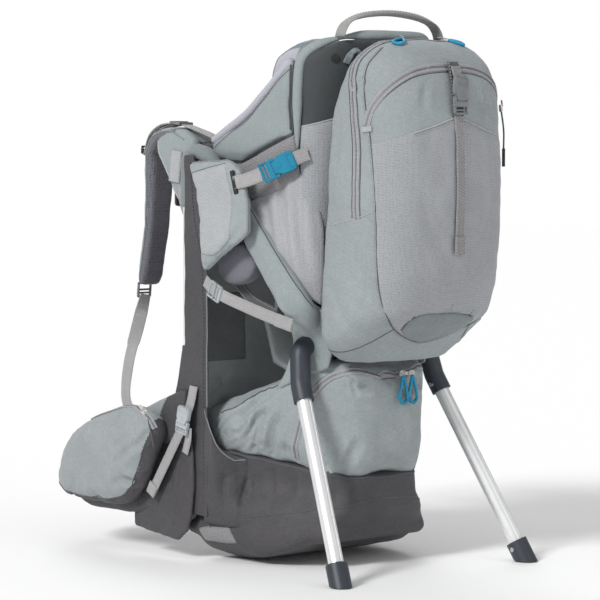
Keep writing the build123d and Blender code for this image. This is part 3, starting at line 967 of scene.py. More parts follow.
def daypack_pocket(skin):
    """The stretch pocket on the front, and the line of its upper hem."""
    corner_low = at(-100, -344, 360)
    low = [corner_low] + points((-70, -336, 334), (-37, -320, 321), (0, -312, 315), (37, -320, 321),
                                (70, -336, 334))
    low += mirrored([corner_low])
    v_line = arch(points((-117, -337, 580), (-78, -374, 594), (-40, -382, 605), (0, -382, 615)))
    left = [corner_low] + points((-107, -344, 384), (-113, -344, 432), (-115, -343, 500), (-117, -337, 580))
    right = mirrored(left)
    pocket = skin_patch("daypack_front_pocket_cover", skin, (low, v_line, left, right), 72, 64, "daypack",
                        "mesh", 1.8, 1.4, replaces=["daypack_front_pocket"])[0]
    ripple(pocket, 0.5, 50.0, 4.0)
    return pocket, v_line


def daypack_front_zip(over, v_line):
    """The bound hem of the front pocket and the arched zip over it."""
    piping("daypack_pocket_binding", over, v_line, "daypack", 1.2, "binding")
    path, outs = over.settle(resample([p - Vector((0, 0, 3.4 * MM)) for p in v_line]), 0.2)
    stitch(path, outs, "daypack")
    arch_line = arch(points((-119, -331, 604), (-116, -336, 626), (-106, -348, 647), (-90, -360, 664),
                            (-68, -367, 676), (-40, -369, 682), (0, -369, 684)))
    zipper("daypack_top_zip", over, arch_line, "daypack", 11)
    inner = [p + Vector((0, 0, -8 * MM)) for p in arch_line[1:-1]]
    piping("daypack_top_zip_edge", over, inner, "daypack", 0.7, "seam")
    for side, label in SIDES:
        place, outs = over.settle([at(side * 118, -332, 600)], 0.6)
        tab = Moulding(place[0], (0, 0.1, 1), outs[0])
        tab.block(0, 0, 0.4, (8, 15, 1.6), 0.6)
        tab.make("daypack_zip_end_" + label, "binding", "daypack")


def daypack_seams(skin):
    """The zip that opens the bag, and the seams of its sides and bottom."""
    side_zip = points((-124, -316, 482), (-124, -316, 540), (-123, -315, 592), (-121, -305, 650),
                      (-113, -299, 682), (-98, -303, 703), (-75, -312, 715), (-40, -315, 719), (0, -316, 720))
    zipper("daypack_main_zip", skin, arch(side_zip), "daypack", 11)
    for name, shift in (("front", -7.0), ("rear", 7.0)):
        edge = [p + Vector((0, shift * MM, 0)) for p in side_zip]
        piping("daypack_zip_edge_" + name, skin, arch(edge), "daypack", 0.6, "seam", lift=0.2)
    piping("daypack_side_seam", skin, points((-124, -266, 472), (-124, -300, 479), (-124, -316, 482),
                                             (-120, -332, 487), (-115, -343, 493)), "daypack", 0.9, "binding",
           both=True)
    piping("daypack_lower_seam", skin, points((-72, -334, 334), (-79, -320, 325), (-90, -296, 313),
                                              (-100, -268, 305), (-108, -242, 303)), "daypack", 0.8, "seam",
           both=True)


def daypack_toe(over, pocket):
    """The patch on the lower front edge."""
    patch_low = points((-60, -336, 332), (-37, -322, 322), (0, -314, 316), (37, -322, 322), (60, -336, 332))
    patch_high = points((-62, -350, 345), (-45, -357, 353), (-11, -359, 355), (25, -358, 353),
                        (58, -352, 347))
    toe = skin_patch("daypack_toe_patch", over, between(patch_low, patch_high), 48, 16, "daypack",
                     "shell_dark", 2.4, 0.5, lift=0.6, toward=(0, 1, 0.45))[0]
    piping("daypack_toe_seam", Skin(toe, pocket), [patch_low[0]] + patch_high + [patch_low[-1]], "daypack",
           0.8, "seam")


def daypack_strap(over):
    """The strap down the middle of the front, its sewn end and its buckle."""
    body = "daypack"
    strap_line = points((0, -381, 618), (0, -385, 560), (0, -385, 500), (0, -384, 434))
    path, outs = over.settle(resample(strap_line, 5.0), 3.0)
    webbing("daypack_centre_strap", path[::3] + [path[-1]], outs[::3] + [outs[-1]], body, 17, 2.2,
            ["daypack_strap"], "webbing_mid")
    path, outs = over.settle(points((0, -386, 457), (0, -386, 445), (0, -386, 433)), 4.4)
    webbing("daypack_strap_end", path, outs, body, 20, 2.8, material="webbing_mid")
    path, outs = over.settle(points(*[(-7 + k * 1.3, -387, z) for z in (436, 454) for k in range(12)]), 5.9)
    add_boxes((body, "thread_light"), path, [Vector((1, 0, 0))] * 24, outs, (0.9, 0.6, 0.5))
    # the dark webbing behind the buckle is partly real backing and partly painted shade round the buckle
    webbing("daypack_buckle_backing_and_shade", points((0, -372, 690), (0, -377, 668), (0, -381, 640), (0, -382, 618)),
            [(0, -1, 0.3), (0, -1, 0.15), (0, -1, 0.05), (0, -1, 0)], body, 21, 2.0, material="webbing_dark")
    anchor = points((0, -376, 684), (0, -382, 668))
    webbing("daypack_buckle_anchor", anchor, [(0, -1, 0.2)] * 2, body, 16, 2.4, material="webbing_mid")
    side_release("daypack_front_buckle", at(0, -387, 645), (0, 0, -1), (0, -1, 0.03), 50, 25, "grey_plastic",
                 body, ["daypack_buckle"])


def daypack_pulls(skin):
    """The sliders of the daypack's zips with their cords."""
    body = "daypack"
    for side, label in SIDES:
        place, outs = skin.settle([at(side * 40, -316, 720)], 1.5)
        zip_slider("daypack_zip_slider_" + label, place[0], Vector((side * 0.4, -0.75, -0.1)), outs[0], body)
        away = -1 if side == LEFT else 0.6
        start = place[0] + Vector((away * 5, -5, 0.5)) * MM
        line = [start, start + Vector((away * 14, -3, 2.0)) * MM, start + Vector((away * 25, -9, -2.5)) * MM,
                start + Vector((away * 20, -17, -6.5)) * MM, start + Vector((away * 8, -13, -3.5)) * MM]
        lifted, ups = skin.settle(line, 2.6)
        cord_loop("daypack_zip_pull_" + label, lifted, ups[0], body, 2.1, closed=True)
    cord = points((124, -342, 628), (126, -345, 600), (125, -346, 575), (125, -346, 556))
    cord_loop("daypack_side_cord", cord, (1, 0, 0), body, 1.2, "cord_dark")
    cord_loop("daypack_side_cord_end", cord[2:] + points((125, -346, 550)), (1, 0, 0), body, 2.2,
              "black_plastic")
    zip_slider("daypack_side_slider", at(123.5, -341, 630), (0.1, -0.1, -1), (0.9, -0.3, 0), body)


def build_daypack():
    shell = daypack_shell()
    skin = Skin(shell)
    face = arch(points(*FACE_LEFT))
    piping("daypack_face_piping", skin, face, "daypack", 0.9, "seam")
    pocket, v_line = daypack_pocket(skin)
    over = Skin(shell, pocket)
    daypack_front_zip(over, v_line)
    daypack_seams(skin)
    path, outs = skin.settle(resample(face), 0.2)
    stitch(path, outs, "daypack", 3.2)
    daypack_toe(over, pocket)
    daypack_strap(over)
    daypack_pulls(skin)


# ---------------------------------------------------------------- cockpit
SIDE_TOP = [(-34, 582), (-62, 597), (-90, 611), (-112, 624), (-134, 641), (-154, 656), (-176, 674),
            (-197, 690)]


def build_cockpit():
    body = "frame"
    lower = [(-34, 566), (-58, 563), (-96, 559), (-130, 571), (-165, 584), (-201, 597)]
    outline = SIDE_TOP + [(-203, 692)] + [(y, z - 6) for y, z in reversed(lower)]
    outer = slab_form("cockpit_side_panel_left", outline, -137, -127, voxel=3.5, rounds=5)
    inflate(outer, 4.0, 4.0)
    ripple(outer, 0.5, 80.0, 2.0)
    subdivide(outer)
    twins(outer, "smooth", body)
    wall = soft_form("cockpit_mesh_wall_left", ["cockpit_wall_left"], 4.0, 5)
    ripple(wall, 1.0, 50.0, 3.0)
    twins(wall, "mesh", body, "cockpit_wall_left")
    skin = Skin(outer)
    ridge = points(*[(-131, y, z + 3) for y, z in SIDE_TOP])
    for side, label in SIDES:
        path = resample(on_side(ridge, side), 5.0)
        form = sweep(path, [Vector((0, -0.5, 0.85))] * len(path), oval(7.0, 6.5))
        rim = mesh_object("cockpit_rim_" + label, *form)
        relax(rim.data, 1)
        finish_piece(rim, "lavender", body)
    rim_skin = Skin(outer, bpy.data.objects["cockpit_rim_left"])
    seam = points(*[(-140, y - 2, z - 8) for y, z in SIDE_TOP])
    piping("cockpit_rim_seam", rim_skin, seam, body, 0.6, "seam", both=True)
    path, outs = rim_skin.settle(resample([p - Vector((0, 0, 3 * MM)) for p in seam]))
    stitch(path, outs, body)
    edge = points(*[(-138, y, z - 3) for y, z in lower])
    piping("cockpit_panel_edge", skin, edge, body, 0.7, "seam", both=True)
    rear = points((-138, -201, 688), (-138, -202, 650), (-138, -202, 600))
    piping("cockpit_rear_seam", skin, rear, body, 1.3, "seam", both=True)
    low = points((-138, -108, 503), (-141, -148, 510), (-140, -186, 520), (-130, -212, 537))
    high = points((-137, -90, 551), (-140, -129, 563), (-140, -165, 577), (-133, -203, 593))
    grid = coons(*between(low, high), 26, 16)
    outs = [Vector((-1.0, -0.3 - 8 * max(0.0, -p.y - 0.15), 0)).normalized() for p in grid]
    panels("cockpit_side_band", grid, 26, 16, outs, 3.0, 1.5, "webbing_mid", body)


def build_shell():
    body = "frame"
    shell = soft_form("headrest_rear_shell", ["headrest_shell"], 4.0, 3)
    ripple(shell, 0.7, 90.0, 5.0)
    # the rear shell's near-black cloth holds painted shade from the daypack as well as its own dark colour
    finish_piece(shell, "shell_pad", body, ["headrest_shell"])
    skin = Skin(shell)
    rim_line = points((-130, -206, 572), (-131, -207, 615), (-130, -207, 660), (-127, -209, 692),
                      (-116, -216, 708), (-98, -230, 719), (-72, -248, 726), (-36, -262, 728), (0, -266, 728))
    rim_line = arch(rim_line)
    path = resample(rim_line, 6.0)
    # beside the handle's ends, 82 mm from the middle, the rim is slimmer, so that the handle can fold
    outs = [Vector((p.x, -0.02, 0.02)).normalized() for p in path]

    def taper(t):
        aside = abs(path[round(t * (len(path) - 1))].x)
        fat = min(1.0, 0.12 + min(t, 1 - t) / 0.13) ** 0.7
        fat *= 1 - 0.62 * math.exp(-(((aside - 0.082) / 0.018) ** 2))
        return oval(7.5 * fat, 6.0 * fat)

    rim = mesh_object("headrest_shell_rim", *sweep(path, outs, taper))
    finish_piece(rim, "smooth", body)
    rim_skin = Skin(rim, shell)
    seam = [Vector((p.x * 0.94, p.y - 7 * MM, p.z - (6 * MM if p.z > 0.69 else 0))) for p in rim_line]
    piping("headrest_shell_seam", rim_skin, seam, body, 0.5, "seam")
    piping("headrest_side_seam", skin, points((-131, -207, 604), (-127, -216, 560), (-121, -224, 510),
                                              (-114, -231, 450), (-108, -236, 405)), body, 1.0, "seam",
           both=True)
    shell_pockets(shell, skin)
    shell_fittings(skin)


def shell_pockets(shell, skin):
    """The mesh pocket on each side of the shell, and the bindings."""
    body = "frame"
    top = points((-128, -210, 604), (-119, -224, 607), (-104, -240, 613), (-84, -252, 618))
    low = points((-128, -208, 402), (-119, -220, 400), (-104, -230, 400), (-84, -238, 400))
    pocket = skin_patch("shell_mesh_pocket", skin, between(low, top), 20, 40, body, "mesh",
                        2.5, 4.0, both=True)
    over = Skin(shell, pocket[0])
    piping("shell_pocket_binding", over, top, body, 1.3, "binding", both=True)
    piping("shell_wing_binding", over, points((-90, -250, 640), (-96, -248, 612), (-98, -246, 570),
                                              (-98, -246, 500)), body, 1.2, "binding",
           both=True, lift=1.0)


def shell_fittings(skin):
    """The snaps of the shell and the small loop it is hauled by."""
    body = "frame"
    for side, label in SIDES:
        place, outs = skin.settle([at(side * 97, -246, 696)])
        snap = Moulding(place[0], (0, 0, 1), outs[0])
        snap.prism(oval(6.0, 6.0), -0.5, 1.8, 0.6)
        snap.prism(oval(3.0, 3.0), 1.5, 2.6, 0.4)
        snap.make("shell_snap_" + label, "black_plastic", body)
    loop = points((-84, -254, 690), (-84, -262, 700), (-80, -266, 706), (-72, -266, 704), (-70, -258, 694))
    webbing("shell_haul_loop", loop, [(-0.4, -0.9, 0.2), (-0.3, -0.8, 0.5), (0, -0.5, 0.9), (0.3, -0.8, 0.5),
                                      (0.4, -0.9, 0.1)], body, 10, 4.0, material="bolster")


def build_headrest():
    body = "frame"
    pad = soft_form("headrest_bolster", ["headrest_pad"], 5.0, 8, -1.5)
    inflate(pad, 4.0, 7.0)
    subdivide(pad)
    finish_piece(pad, "bolster", body, ["headrest_pad"])
    skin = Skin(pad)
    piping("headrest_seam", skin, points((-96, -100, 632), (-97, -104, 672), (-97, -120, 698),
                                         (-97, -150, 716), (-97, -190, 724), (-92, -224, 722)), body, 0.7,
           "bolster", both=True)
    low = points((-98, -112, 672), (-98, -140, 668), (-98, -168, 676))
    high = points((-98, -128, 703), (-98, -148, 712), (-98, -172, 714))
    skin_patch("headrest_side_patch", skin, between(low, high), 12, 10, body, "lavender", 1.2,
               0.6, both=True)


def build_flap():
    """The side pocket by the shoulder corner."""
    body = "frame"
    flap = soft_form("flap_pocket_body_left", ["flap_pocket_left"], 4.0, 5, -1.0)
    inflate(flap, 5.0, 6.0)
    crease(flap, [points((-180, -148, 470), (-181, -130, 452), (-181, -104, 436)),
                  points((-180, -140, 530), (-181, -132, 505), (-181, -136, 480))], 5.0, 1.6)
    ripple(flap, 0.5, 40.0, 6.0)
    subdivide(flap)
    twins(flap, "shell", body, "flap_pocket_left")
    skin = Skin(flap)
    low = points((-181, -70, 430), (-181, -96, 430), (-181, -126, 452))
    high = points((-181, -40, 540), (-181, -80, 547), (-181, -114, 556))
    left = [low[0], at(-181, -52, 486), high[0]]
    right = [low[-1], at(-181, -133, 505), high[-1]]
    skin_patch("flap_pocket_panel", skin, (low, high, left, right), 24, 30, body, "ripstop",
               1.0, 0.8, both=True)
    piping("flap_pocket_seam", skin, high, body, 0.6, "seam", both=True)
    rim = points((-176, -36, 564), (-176, -84, 564), (-176, -120, 561), (-176, -143, 546), (-176, -159, 505),
                 (-176, -160, 466), (-176, -148, 448), (-176, -78, 404))
    piping("flap_pocket_edge", skin, rim, body, 1.5, "shell_dark", both=True)


def build_side_straps():
    """The webbing and blue buckle at each side pocket, and the compression strap under it."""
    body = "frame"
    entry = points((-183, -136, 528), (-176, -158, 533), (-169, -177, 540))
    face = [(-0.95, -0.3, 0.05), (-0.9, -0.4, 0.05), (-0.85, -0.5, 0.05)]
    webbing("side_strap_front", entry, face, body, 19, 2.0, replaces=["side_straps"], both=True)
    rear = points((-143, -212, 559), (-136, -219, 564), (-128, -226, 568))
    webbing("side_strap_rear", rear, [(-0.8, -0.6, 0), (-0.75, -0.65, 0), (-0.7, -0.7, 0)], body, 19, 2.0,
            both=True)
    for side, label in SIDES:
        start, end = at(side * 168.5, -178.5, 540.5), at(side * 141, -213, 561)
        side_release("side_buckle_" + label, (start + end) / 2, start - end, (side * 0.8, -0.6, 0.05), 50, 27,
                     "blue_plastic", body, ["side_buckles"] if side == LEFT else [])
        slot_part = Moulding(at(side * 182.5, -136, 529), (0, -0.3, -1), (side, -0.2, 0))
        slot_part.block(0, 0, 0, (33, 7.0, 3.0), 0.8)
        slot_part.make("flap_slot_" + label, "black_plastic", body)
        ladderlock("compression_lock_" + label, at(side * 169.5, -80, 378), (0, -1, -0.45), (side, 0, 0), 26,
                   24, "pale_plastic", body)
    lower = points((-167, -56, 392), (-169, -86, 376), (-165, -150, 357), (-158, -208, 341))
    webbing("compression_strap", lower, [(-1, 0, 0), (-1, 0, 0), (-1, -0.05, 0), (-0.98, -0.15, 0)], body, 17,
            2.0, both=True)
    tail = points((-160, -196, 344), (-157, -226, 337))
    webbing("compression_strap_end", tail, [(-0.98, -0.15, 0), (-0.9, -0.3, 0)], body, 18, 4.0, both=True)


def build_sleeve():
    """The padded sleeve on the diagonal of the side tube."""
    body = "frame"
    # place on the tube, half width and outward direction
    line = [(-149, -60, 546, 16, (-1, 0, 0)), (-147, -100, 500, 19, (-1, 0, 0)),
            (-145, -150, 442, 21, (-1, 0, 0)), (-143.5, -190, 395.5, 23, (-1, -0.05, 0)),
            (-142.7, -209.4, 373.2, 23, (-1, -0.25, 0)), (-135.3, -219.2, 357.9, 20, (-0.65, -0.66, -0.38)),
            (-118.2, -219.2, 348.2, 17, (-0.15, -0.95, -0.25)), (-98, -213.5, 343.3, 15, (0, -1, -0.1))]
    path = resample(points(*[p[:3] for p in line]), 5.0)
    knots = np.cumsum([0] + [(Vector(b[:3]) - Vector(a[:3])).length for a, b in zip(line, line[1:])])
    run = np.linspace(0, knots[-1], len(path))
    widths = np.interp(run, knots, [p[3] for p in line])
    outs = [Vector(o) for o in zip(*(np.interp(run, knots, [p[4][k] for p in line]) for k in range(3)))]

    def section(t):
        return oval(widths[round(t * (len(path) - 1))], 12.6, 24, (0.7, 0.85))

    sleeve = mesh_object("diagonal_sleeve_left", *sweep(path, outs, section))
    subdivide(sleeve)
    ripple(sleeve, 0.8, 34.0, 8.0)
    crease(sleeve, [points((-152, -205, 384), (-150, -214, 362)),
                    points((-154, -196, 366), (-146, -214, 350))], 4.0, 1.6)
    twins(sleeve, "smooth", body, "diagonal_sleeves")
    skin = Skin(sleeve)
    piping("sleeve_edge", skin, points((-152, -84, 550), (-151, -117, 513), (-150, -167, 455),
                                       (-149, -208, 408), (-148, -228, 392), (-142, -238, 376),
                                       (-128, -240, 362)), body, 0.8, "seam", both=True)


def build_mesh_panel():
    """The mesh panel sewn along the sleeve, pulled in round the frame's rear corner."""
    top = points((-139, -112, 500), (-140, -150, 512), (-139, -190, 524), (-130, -212, 541))
    right = points((-108, -233, 362), (-107, -235, 410), (-108, -234, 470), (-116, -226, 510),
                   (-130, -212, 541))
    low = points((-139, -112, 500), (-142, -150, 458), (-139, -192, 410), (-132, -214, 382),
                 (-108, -233, 362))
    left = [low[0], top[0] + Vector((0, 0, 0.4 * MM))]
    grid = coons(low, top, left, right, 34, 34)
    outs = [Vector((-1.0, -0.35 - 6 * max(0.0, -p.y - 0.14), 0)).normalized() for p in grid]
    folds = [points((-146, -186, 528), (-146, -190, 470), (-142, -200, 415)),
             points((-136, -208, 530), (-134, -214, 470), (-126, -222, 410)),
             points((-148, -150, 508), (-148, -160, 480), (-146, -172, 445))]
    panels("cockpit_mesh_panel", grid, 34, 34, outs, 2.0, 5.0, "mesh_light", "frame",
           lambda obj, side: crease(obj, [on_side(f, side) for f in folds], 8.0, 3.0))


def build_bulb_pads():
    body = "frame"
    outline = [(-56, 416), (-60, 400), (-76, 388), (-104, 386), (-128, 396), (-140, 418), (-120, 446),
               (-78, 446)]
    pad = slab_form("leg_opening_pad_left", outline, -150, -126, voxel=4.0, rounds=8, soften=1)
    inflate(pad, 5.0, 6.0)
    subdivide(pad)
    twins(pad, "purple", body)
    webbing("leg_opening_strap", points((-128, -70, 398), (-120, -100, 366), (-104, -130, 348)),
            [(-1, 0, 0.2)] * 3, body, 15, 1.8, material="webbing_dark", both=True)
    webbing("leg_opening_strap_rear", points((-126, -176, 392), (-116, -150, 366), (-100, -128, 350)),
            [(-1, 0, 0.2)] * 3, body, 13, 1.8, material="webbing_dark", both=True)


# ---------------------------------------------------------------- storage base
def hull_form(name, source, voxel, rounds, grow):
    """The filled outer form of a CAD solid as fine cloth-like mesh."""
    work = bmesh.new()
    work.from_mesh(nodes[source].data)
    work.transform(nodes[source].matrix_world)
    made = bmesh.ops.convex_hull(work, input=work.verts)
    bmesh.ops.delete(work, geom=list(set(made["geom_interior"] + made["geom_unused"])), context="VERTS")
    mesh = bpy.data.meshes.new(name)
    work.to_mesh(mesh)
    work.free()
    return remeshed(new_object(name, mesh), voxel, rounds, grow)


def cover(obj, axis, radius):
    """Pushes cloth out over a round bar that lies just under it."""
    co, out = read(obj.data), normals_of(obj.data)
    for a, b in zip(axis, axis[1:]):
        a, b = np.array(a), np.array(b)
        run = (b - a) / np.linalg.norm(b - a)
        along = np.clip((co - a) @ run, 0, np.linalg.norm(b - a))
        from_axis = co - (a + along[:, None] * run)
        height = (from_axis * out).sum(1)
        aside = np.sqrt(np.maximum((from_axis ** 2).sum(1) - height ** 2, 0))
        want = np.sqrt(np.maximum((radius * MM) ** 2 - aside ** 2, 0))
        near = (aside < radius * MM) & (height > -0.004) & (height < want)
        co[near] += out[near] * (want - height)[near][:, None]
    write(obj.data, co)


def waist(obj, low, middle, high, top):
    """Narrows the base between its top edge and the middle of the boot."""
    co = read(obj.data)
    z, y = co[:, 2] / MM, co[:, 1] / MM - CENTRE_Y
    share = np.interp(z, [40, 124, 160, 284], [low, middle, high, top])
    rear = np.clip((-y - 60) / 80, 0, 1)
    co[:, 0] *= 1 - (1 - share) * (0.55 + 0.45 * rear)
    write(obj.data, co)


def build_linings():
    """The dark inner wall behind the leg openings, the curtain over the base and the side gussets."""
    body = "frame"
    wall = coons(*between(points((-139, -11, 152), (0, -14, 150), (139, -11, 152)),
                          points((-139, -11, 548), (0, -14, 550), (139, -11, 548))), 60, 80)
    sheet = patch("seat_front_lining", wall, 60, 80, [Vector((0, -1, 0))] * len(wall), 2.4, 1.0)
    ripple(sheet, 1.6, 60.0, 21.0)
    crease(sheet, [points((-139, -14, 262), (-110, -14, 244), (-60, -14, 236)),
                   points((-139, -14, 214), (-120, -14, 232), (-96, -14, 262))], 9.0, 3.5)
    finish_piece(sheet, "lining", body)
    skin = Skin(sheet)
    for side, label in SIDES:
        low = points((side * 128, -16, 276), (side * 60, -16, 276))
        high = points((side * 128, -16, 372), (side * 60, -16, 372))
        skin_patch("lining_patch_" + label, skin, between(low, high), 20, 20, body, "lining_patch",
                   1.4, 0.2)
    curtain = coons(*between(points((-104, -176, 252), (0, -176, 252), (104, -176, 252)),
                             points((-104, -178, 402), (0, -178, 402), (104, -178, 402))), 40, 30)
    drape = patch("cabin_rear_curtain", curtain, 40, 30, [Vector((0, -1, 0))] * len(curtain), 2.4, 1.0)
    ripple(drape, 1.2, 50.0, 22.0)
    finish_piece(drape, "lining", body)
    low = points((-112, -140, 240), (-108, -166, 252), (-100, -196, 264), (-92, -226, 276))
    high = points((-139, -170, 380), (-136, -194, 372), (-126, -218, 362), (-106, -236, 356))
    left = points((-112, -140, 240), (-106, -160, 276), (-104, -168, 310), (-122, -172, 346),
                  (-139, -170, 380))
    right = points((-92, -226, 276), (-90, -232, 300), (-92, -236, 330), (-106, -236, 356))
    grid = coons(low, high, left, right, 30, 36)
    outs = [Vector((-1.0, -0.25, 0)).normalized()] * len(grid)
    folds = [points((-124, -172, 350), (-108, -172, 306), (-106, -172, 266)),
             points((-130, -186, 362), (-112, -190, 330), (-104, -186, 270)),
             points((-120, -206, 356), (-104, -206, 330), (-98, -208, 280))]
    panels("base_side_gusset", grid, 30, 36, outs, 3.0, 2.0, "smooth", body,
           lambda obj, side: crease(obj, [on_side(f, side) for f in folds], 6.0, 2.5))


def storage_bag(strut):
    """The cloth of the storage compartment, folded where the leg openings draw it in."""
    bag = hull_form("storage_bag_cloth", "storage_bag", 6.0, 5, 0.5)
    waist(bag, 1.0, 0.93, 0.945, 1.03)
    inflate(bag, 3.5, 5.0, slack=0.02)
    folds = [points((-146, -52, 176), (-138, -90, 206), (-124, -130, 236)),
             points((-146, -60, 168), (-138, -92, 190), (-122, -140, 224)),
             points((-142, -80, 154), (-134, -104, 186), (-124, -126, 214)),
             points((-138, -96, 150), (-130, -116, 186), (-122, -136, 226)),
             points((-126, -132, 148), (-119, -144, 180), (-114, -156, 206)),
             points((-142, -70, 196), (-134, -98, 214), (-122, -138, 244)),
             points((-132, -112, 148), (-128, -118, 176), (-124, -120, 206)),
             points((-142, -74, 160), (-138, -80, 176), (-132, -96, 200)),
             points((-60, -256, 262), (-40, -258, 250), (-18, -258, 246)),
             points((30, -258, 258), (52, -257, 250), (76, -250, 252)),
             points((-84, -240, 132), (-70, -252, 158), (-62, -256, 176))]
    crease(bag, folds + [mirrored(f) for f in folds[:10]], 6.5, 6.0)
    ripple(bag, 1.3, 55.0, 9.0)
    cover(bag, strut, 10.0)
    subdivide(bag)
    pleats = [((-148, -40, 186), (-142, -74, 210)), ((-148, -44, 172), (-140, -84, 204)),
              ((-147, -50, 160), (-138, -92, 198)), ((-146, -58, 152), (-134, -100, 194)),
              ((-144, -68, 147), (-130, -108, 206)), ((-141, -80, 145), (-127, -116, 196)),
              ((-138, -90, 144), (-124, -122, 210)), ((-132, -104, 143), (-121, -128, 188)),
              ((-127, -116, 142), (-118, -138, 214)), ((-122, -128, 141), (-116, -146, 184)),
              ((-117, -142, 140), (-113, -156, 196)), ((-96, -222, 132), (-102, -206, 166)),
              ((-88, -236, 130), (-96, -222, 154)), ((-76, -246, 262), (-62, -252, 240)),
              ((70, -250, 262), (58, -256, 238))]
    fine = [points(a, tuple((u + v) / 2 + w for u, v, w in zip(a, b, (0, -2, 5))), b) for a, b in pleats]
    crease(bag, fine + [mirrored(f) for f in fine[:11]], 3.4, 2.6)
    finish_piece(bag, "shell", "frame", ["storage_bag"])
    return bag


def storage_seams(skin):
    """The arched zip at the rear of the storage compartment and the edge of its opening."""
    body = "frame"
    zip_line = arch(points((-109, -170, 146), (-109, -178, 176), (-106, -192, 214), (-100, -210, 246),
                           (-88, -232, 268), (-60, -250, 275), (-30, -256, 273), (0, -257, 271)))
    zipper("storage_zip", skin, zip_line, body, 10)
    for name, shift in (("inner", -6.5), ("outer", 6.5)):
        moved = [p + Vector((p.x, 0, (p.z - 0.17) * 1.2)).normalized() * shift * MM for p in zip_line]
        piping("storage_zip_edge_" + name, skin, moved, body, 0.6, "seam")
    piping("storage_opening_edge", skin, points((-142, -54, 210), (-134, -96, 232), (-122, -140, 255),
                                                (-112, -180, 272), (-104, -204, 282)), body, 0.9, "seam",
           both=True)


def base_boot(strut, rail, skin):
    """The dark cloth round the foot of the base, stretched over the rail and the strut."""
    boot = hull_form("base_boot_cloth", "base_boot", 6.0, 4, 0.5)
    waist(boot, 1.0, 0.865, 0.925, 1.0)
    boot_folds = [points((-150, -30, 150), (-152, -34, 100), (-148, -36, 50)),
                  points((-146, -70, 140), (-146, -74, 100), (-142, -76, 66)),
                  points((-140, -92, 140), (-138, -96, 110), (-134, -100, 80)),
                  points((-122, -142, 138), (-118, -150, 112), (-116, -156, 90)),
                  points((-98, -214, 132), (-92, -226, 116), (-86, -234, 104)),
                  points((60, -254, 124), (52, -256, 112), (44, -257, 100)),
                  points((-76, -246, 126), (-66, -252, 112), (-56, -255, 102)),
                  points((-150, -50, 146), (-149, -54, 110), (-147, -56, 70)),
                  points((-128, -126, 138), (-124, -132, 110), (-120, -140, 86)),
                  points((-108, -190, 132), (-102, -200, 112), (-98, -206, 96))]
    crease(boot, boot_folds + [mirrored(f) for f in boot_folds[:5]], 8.0, 5.0)
    ripple(boot, 1.2, 60.0, 10.0)
    cover(boot, rail, 12.5)
    cover(boot, strut, 10.0)
    relax(boot.data, 2)
    cover(boot, rail, 12.0)
    # the upper edge is drawn in to the bag
    co = read(boot.data)
    share = np.clip((co[:, 2] / MM - 72) / 44, 0, 1)
    share = share * share * (3 - 2 * share)
    for k in np.nonzero(share)[0]:
        place = Vector(co[k])
        hit, out = skin.tree.find_nearest(place)[:2]
        if (place - hit).dot(out) > 0:
            moved = hit + Vector((out.x, out.y, 0)) * 1.6 * MM
            co[k, :2] += share[k] * (np.array(moved)[:2] - co[k, :2])
    co[:, 2] = np.maximum(co[:, 2], 0.0)
    write(boot.data, co)
    relax(boot.data, 1)
    cover(boot, rail, 12.0)
    cover(boot, strut, 9.0)
    subdivide(boot)
    finish_piece(boot, "charcoal", "frame", ["base_boot"])
    return boot


def boot_details(boot_skin):
    """The boot's seams, the gussets at its front corners and the grip patches under them."""
    body = "frame"
    seam = points((-150, -30, 52), (-147, -84, 62), (-128, -144, 72), (-114, -190, 82), (-98, -222, 88),
                  (-74, -250, 90), (-30, -256, 93), (0, -256, 94))
    piping("boot_seam", boot_skin, arch(seam), body, 0.9, "seam")
    line = points((-152, -40, 156), (-148, -78, 150), (-134, -112, 146), (-116, -160, 139), (-108, -200, 133),
                  (-90, -232, 129), (-62, -252, 127), (0, -256, 126))
    piping("boot_line", boot_skin, arch(line), body, 1.2, "seam")
    low = points((-164, -48, 54), (-150, -76, 50), (-138, -106, 50))
    high = points((-164, -48, 216), (-163, -60, 188), (-157, -70, 164), (-147, -86, 148), (-136, -106, 138))
    laid = []
    for p in coons(*between(low, high), 30, 40):
        share = min(1.0, max(0.0, (-(p.y / MM - CENTRE_Y) - 60) / 40))
        hit, out = boot_skin.tree.find_nearest(p)[:2]
        lift = 0.8 - 13 * max(0.0, share - 0.8)
        laid.append(p.lerp(hit + out * lift * MM, share * share * (3 - 2 * share)))
    outs = [Vector((-1, -0.5, 0)).normalized()] * len(laid)
    gussets = panels("base_front_gusset", laid, 30, 40, outs, 2.0, 1.0, "charcoal", body,
                     lambda obj, side: ripple(obj, 0.8, 40.0, 25.0))
    piping("base_front_gusset_piping", Skin(gussets[0]), high, body, 0.9, "shell_dark", both=True)
    low = points((-148, -26, 22), (-150, -60, 18), (-144, -92, 26))
    high = points((-152, -26, 44), (-152, -54, 50), (-148, -80, 52))
    skin_patch("boot_grip_patch", boot_skin, between(low, high), 14, 8, body, "webbing_mid",
               1.5, 1.0, both=True)


def storage_pulls():
    """The two sliders of the storage zip, each with its blue pull."""
    reach = 7.5
    for side, label in SIDES:
        x = 22 + 9 * side
        body = "zip_" + label
        zip_slider("storage_slider_body_" + label, at(x, -262, 266), (side, 0, 0), (0, -1, 0.1), body,
                   ["storage_zip_slider_" + label])
        loop = points((x - 0.5, -264, 262), (x - 4, -265, 250), (x - reach, -265, 238),
                      (x - reach + 1, -265, 229), (x, -265, 225), (x + reach - 1, -265, 228),
                      (x + reach, -265, 236), (x + 4, -265, 250), (x + 0.5, -264, 262))
        cord_loop("storage_pull_" + label, loop, (0, -1, 0), body, 2.1, closed=True)
        grip = points((x - 7, -265.5, 232), (x - 4, -266, 227), (x + 1, -266, 225), (x + 6, -265.5, 229))
        cord_loop("storage_pull_grip_" + label, grip, (0, -1, 0), body, 2.6, "blue_plastic")


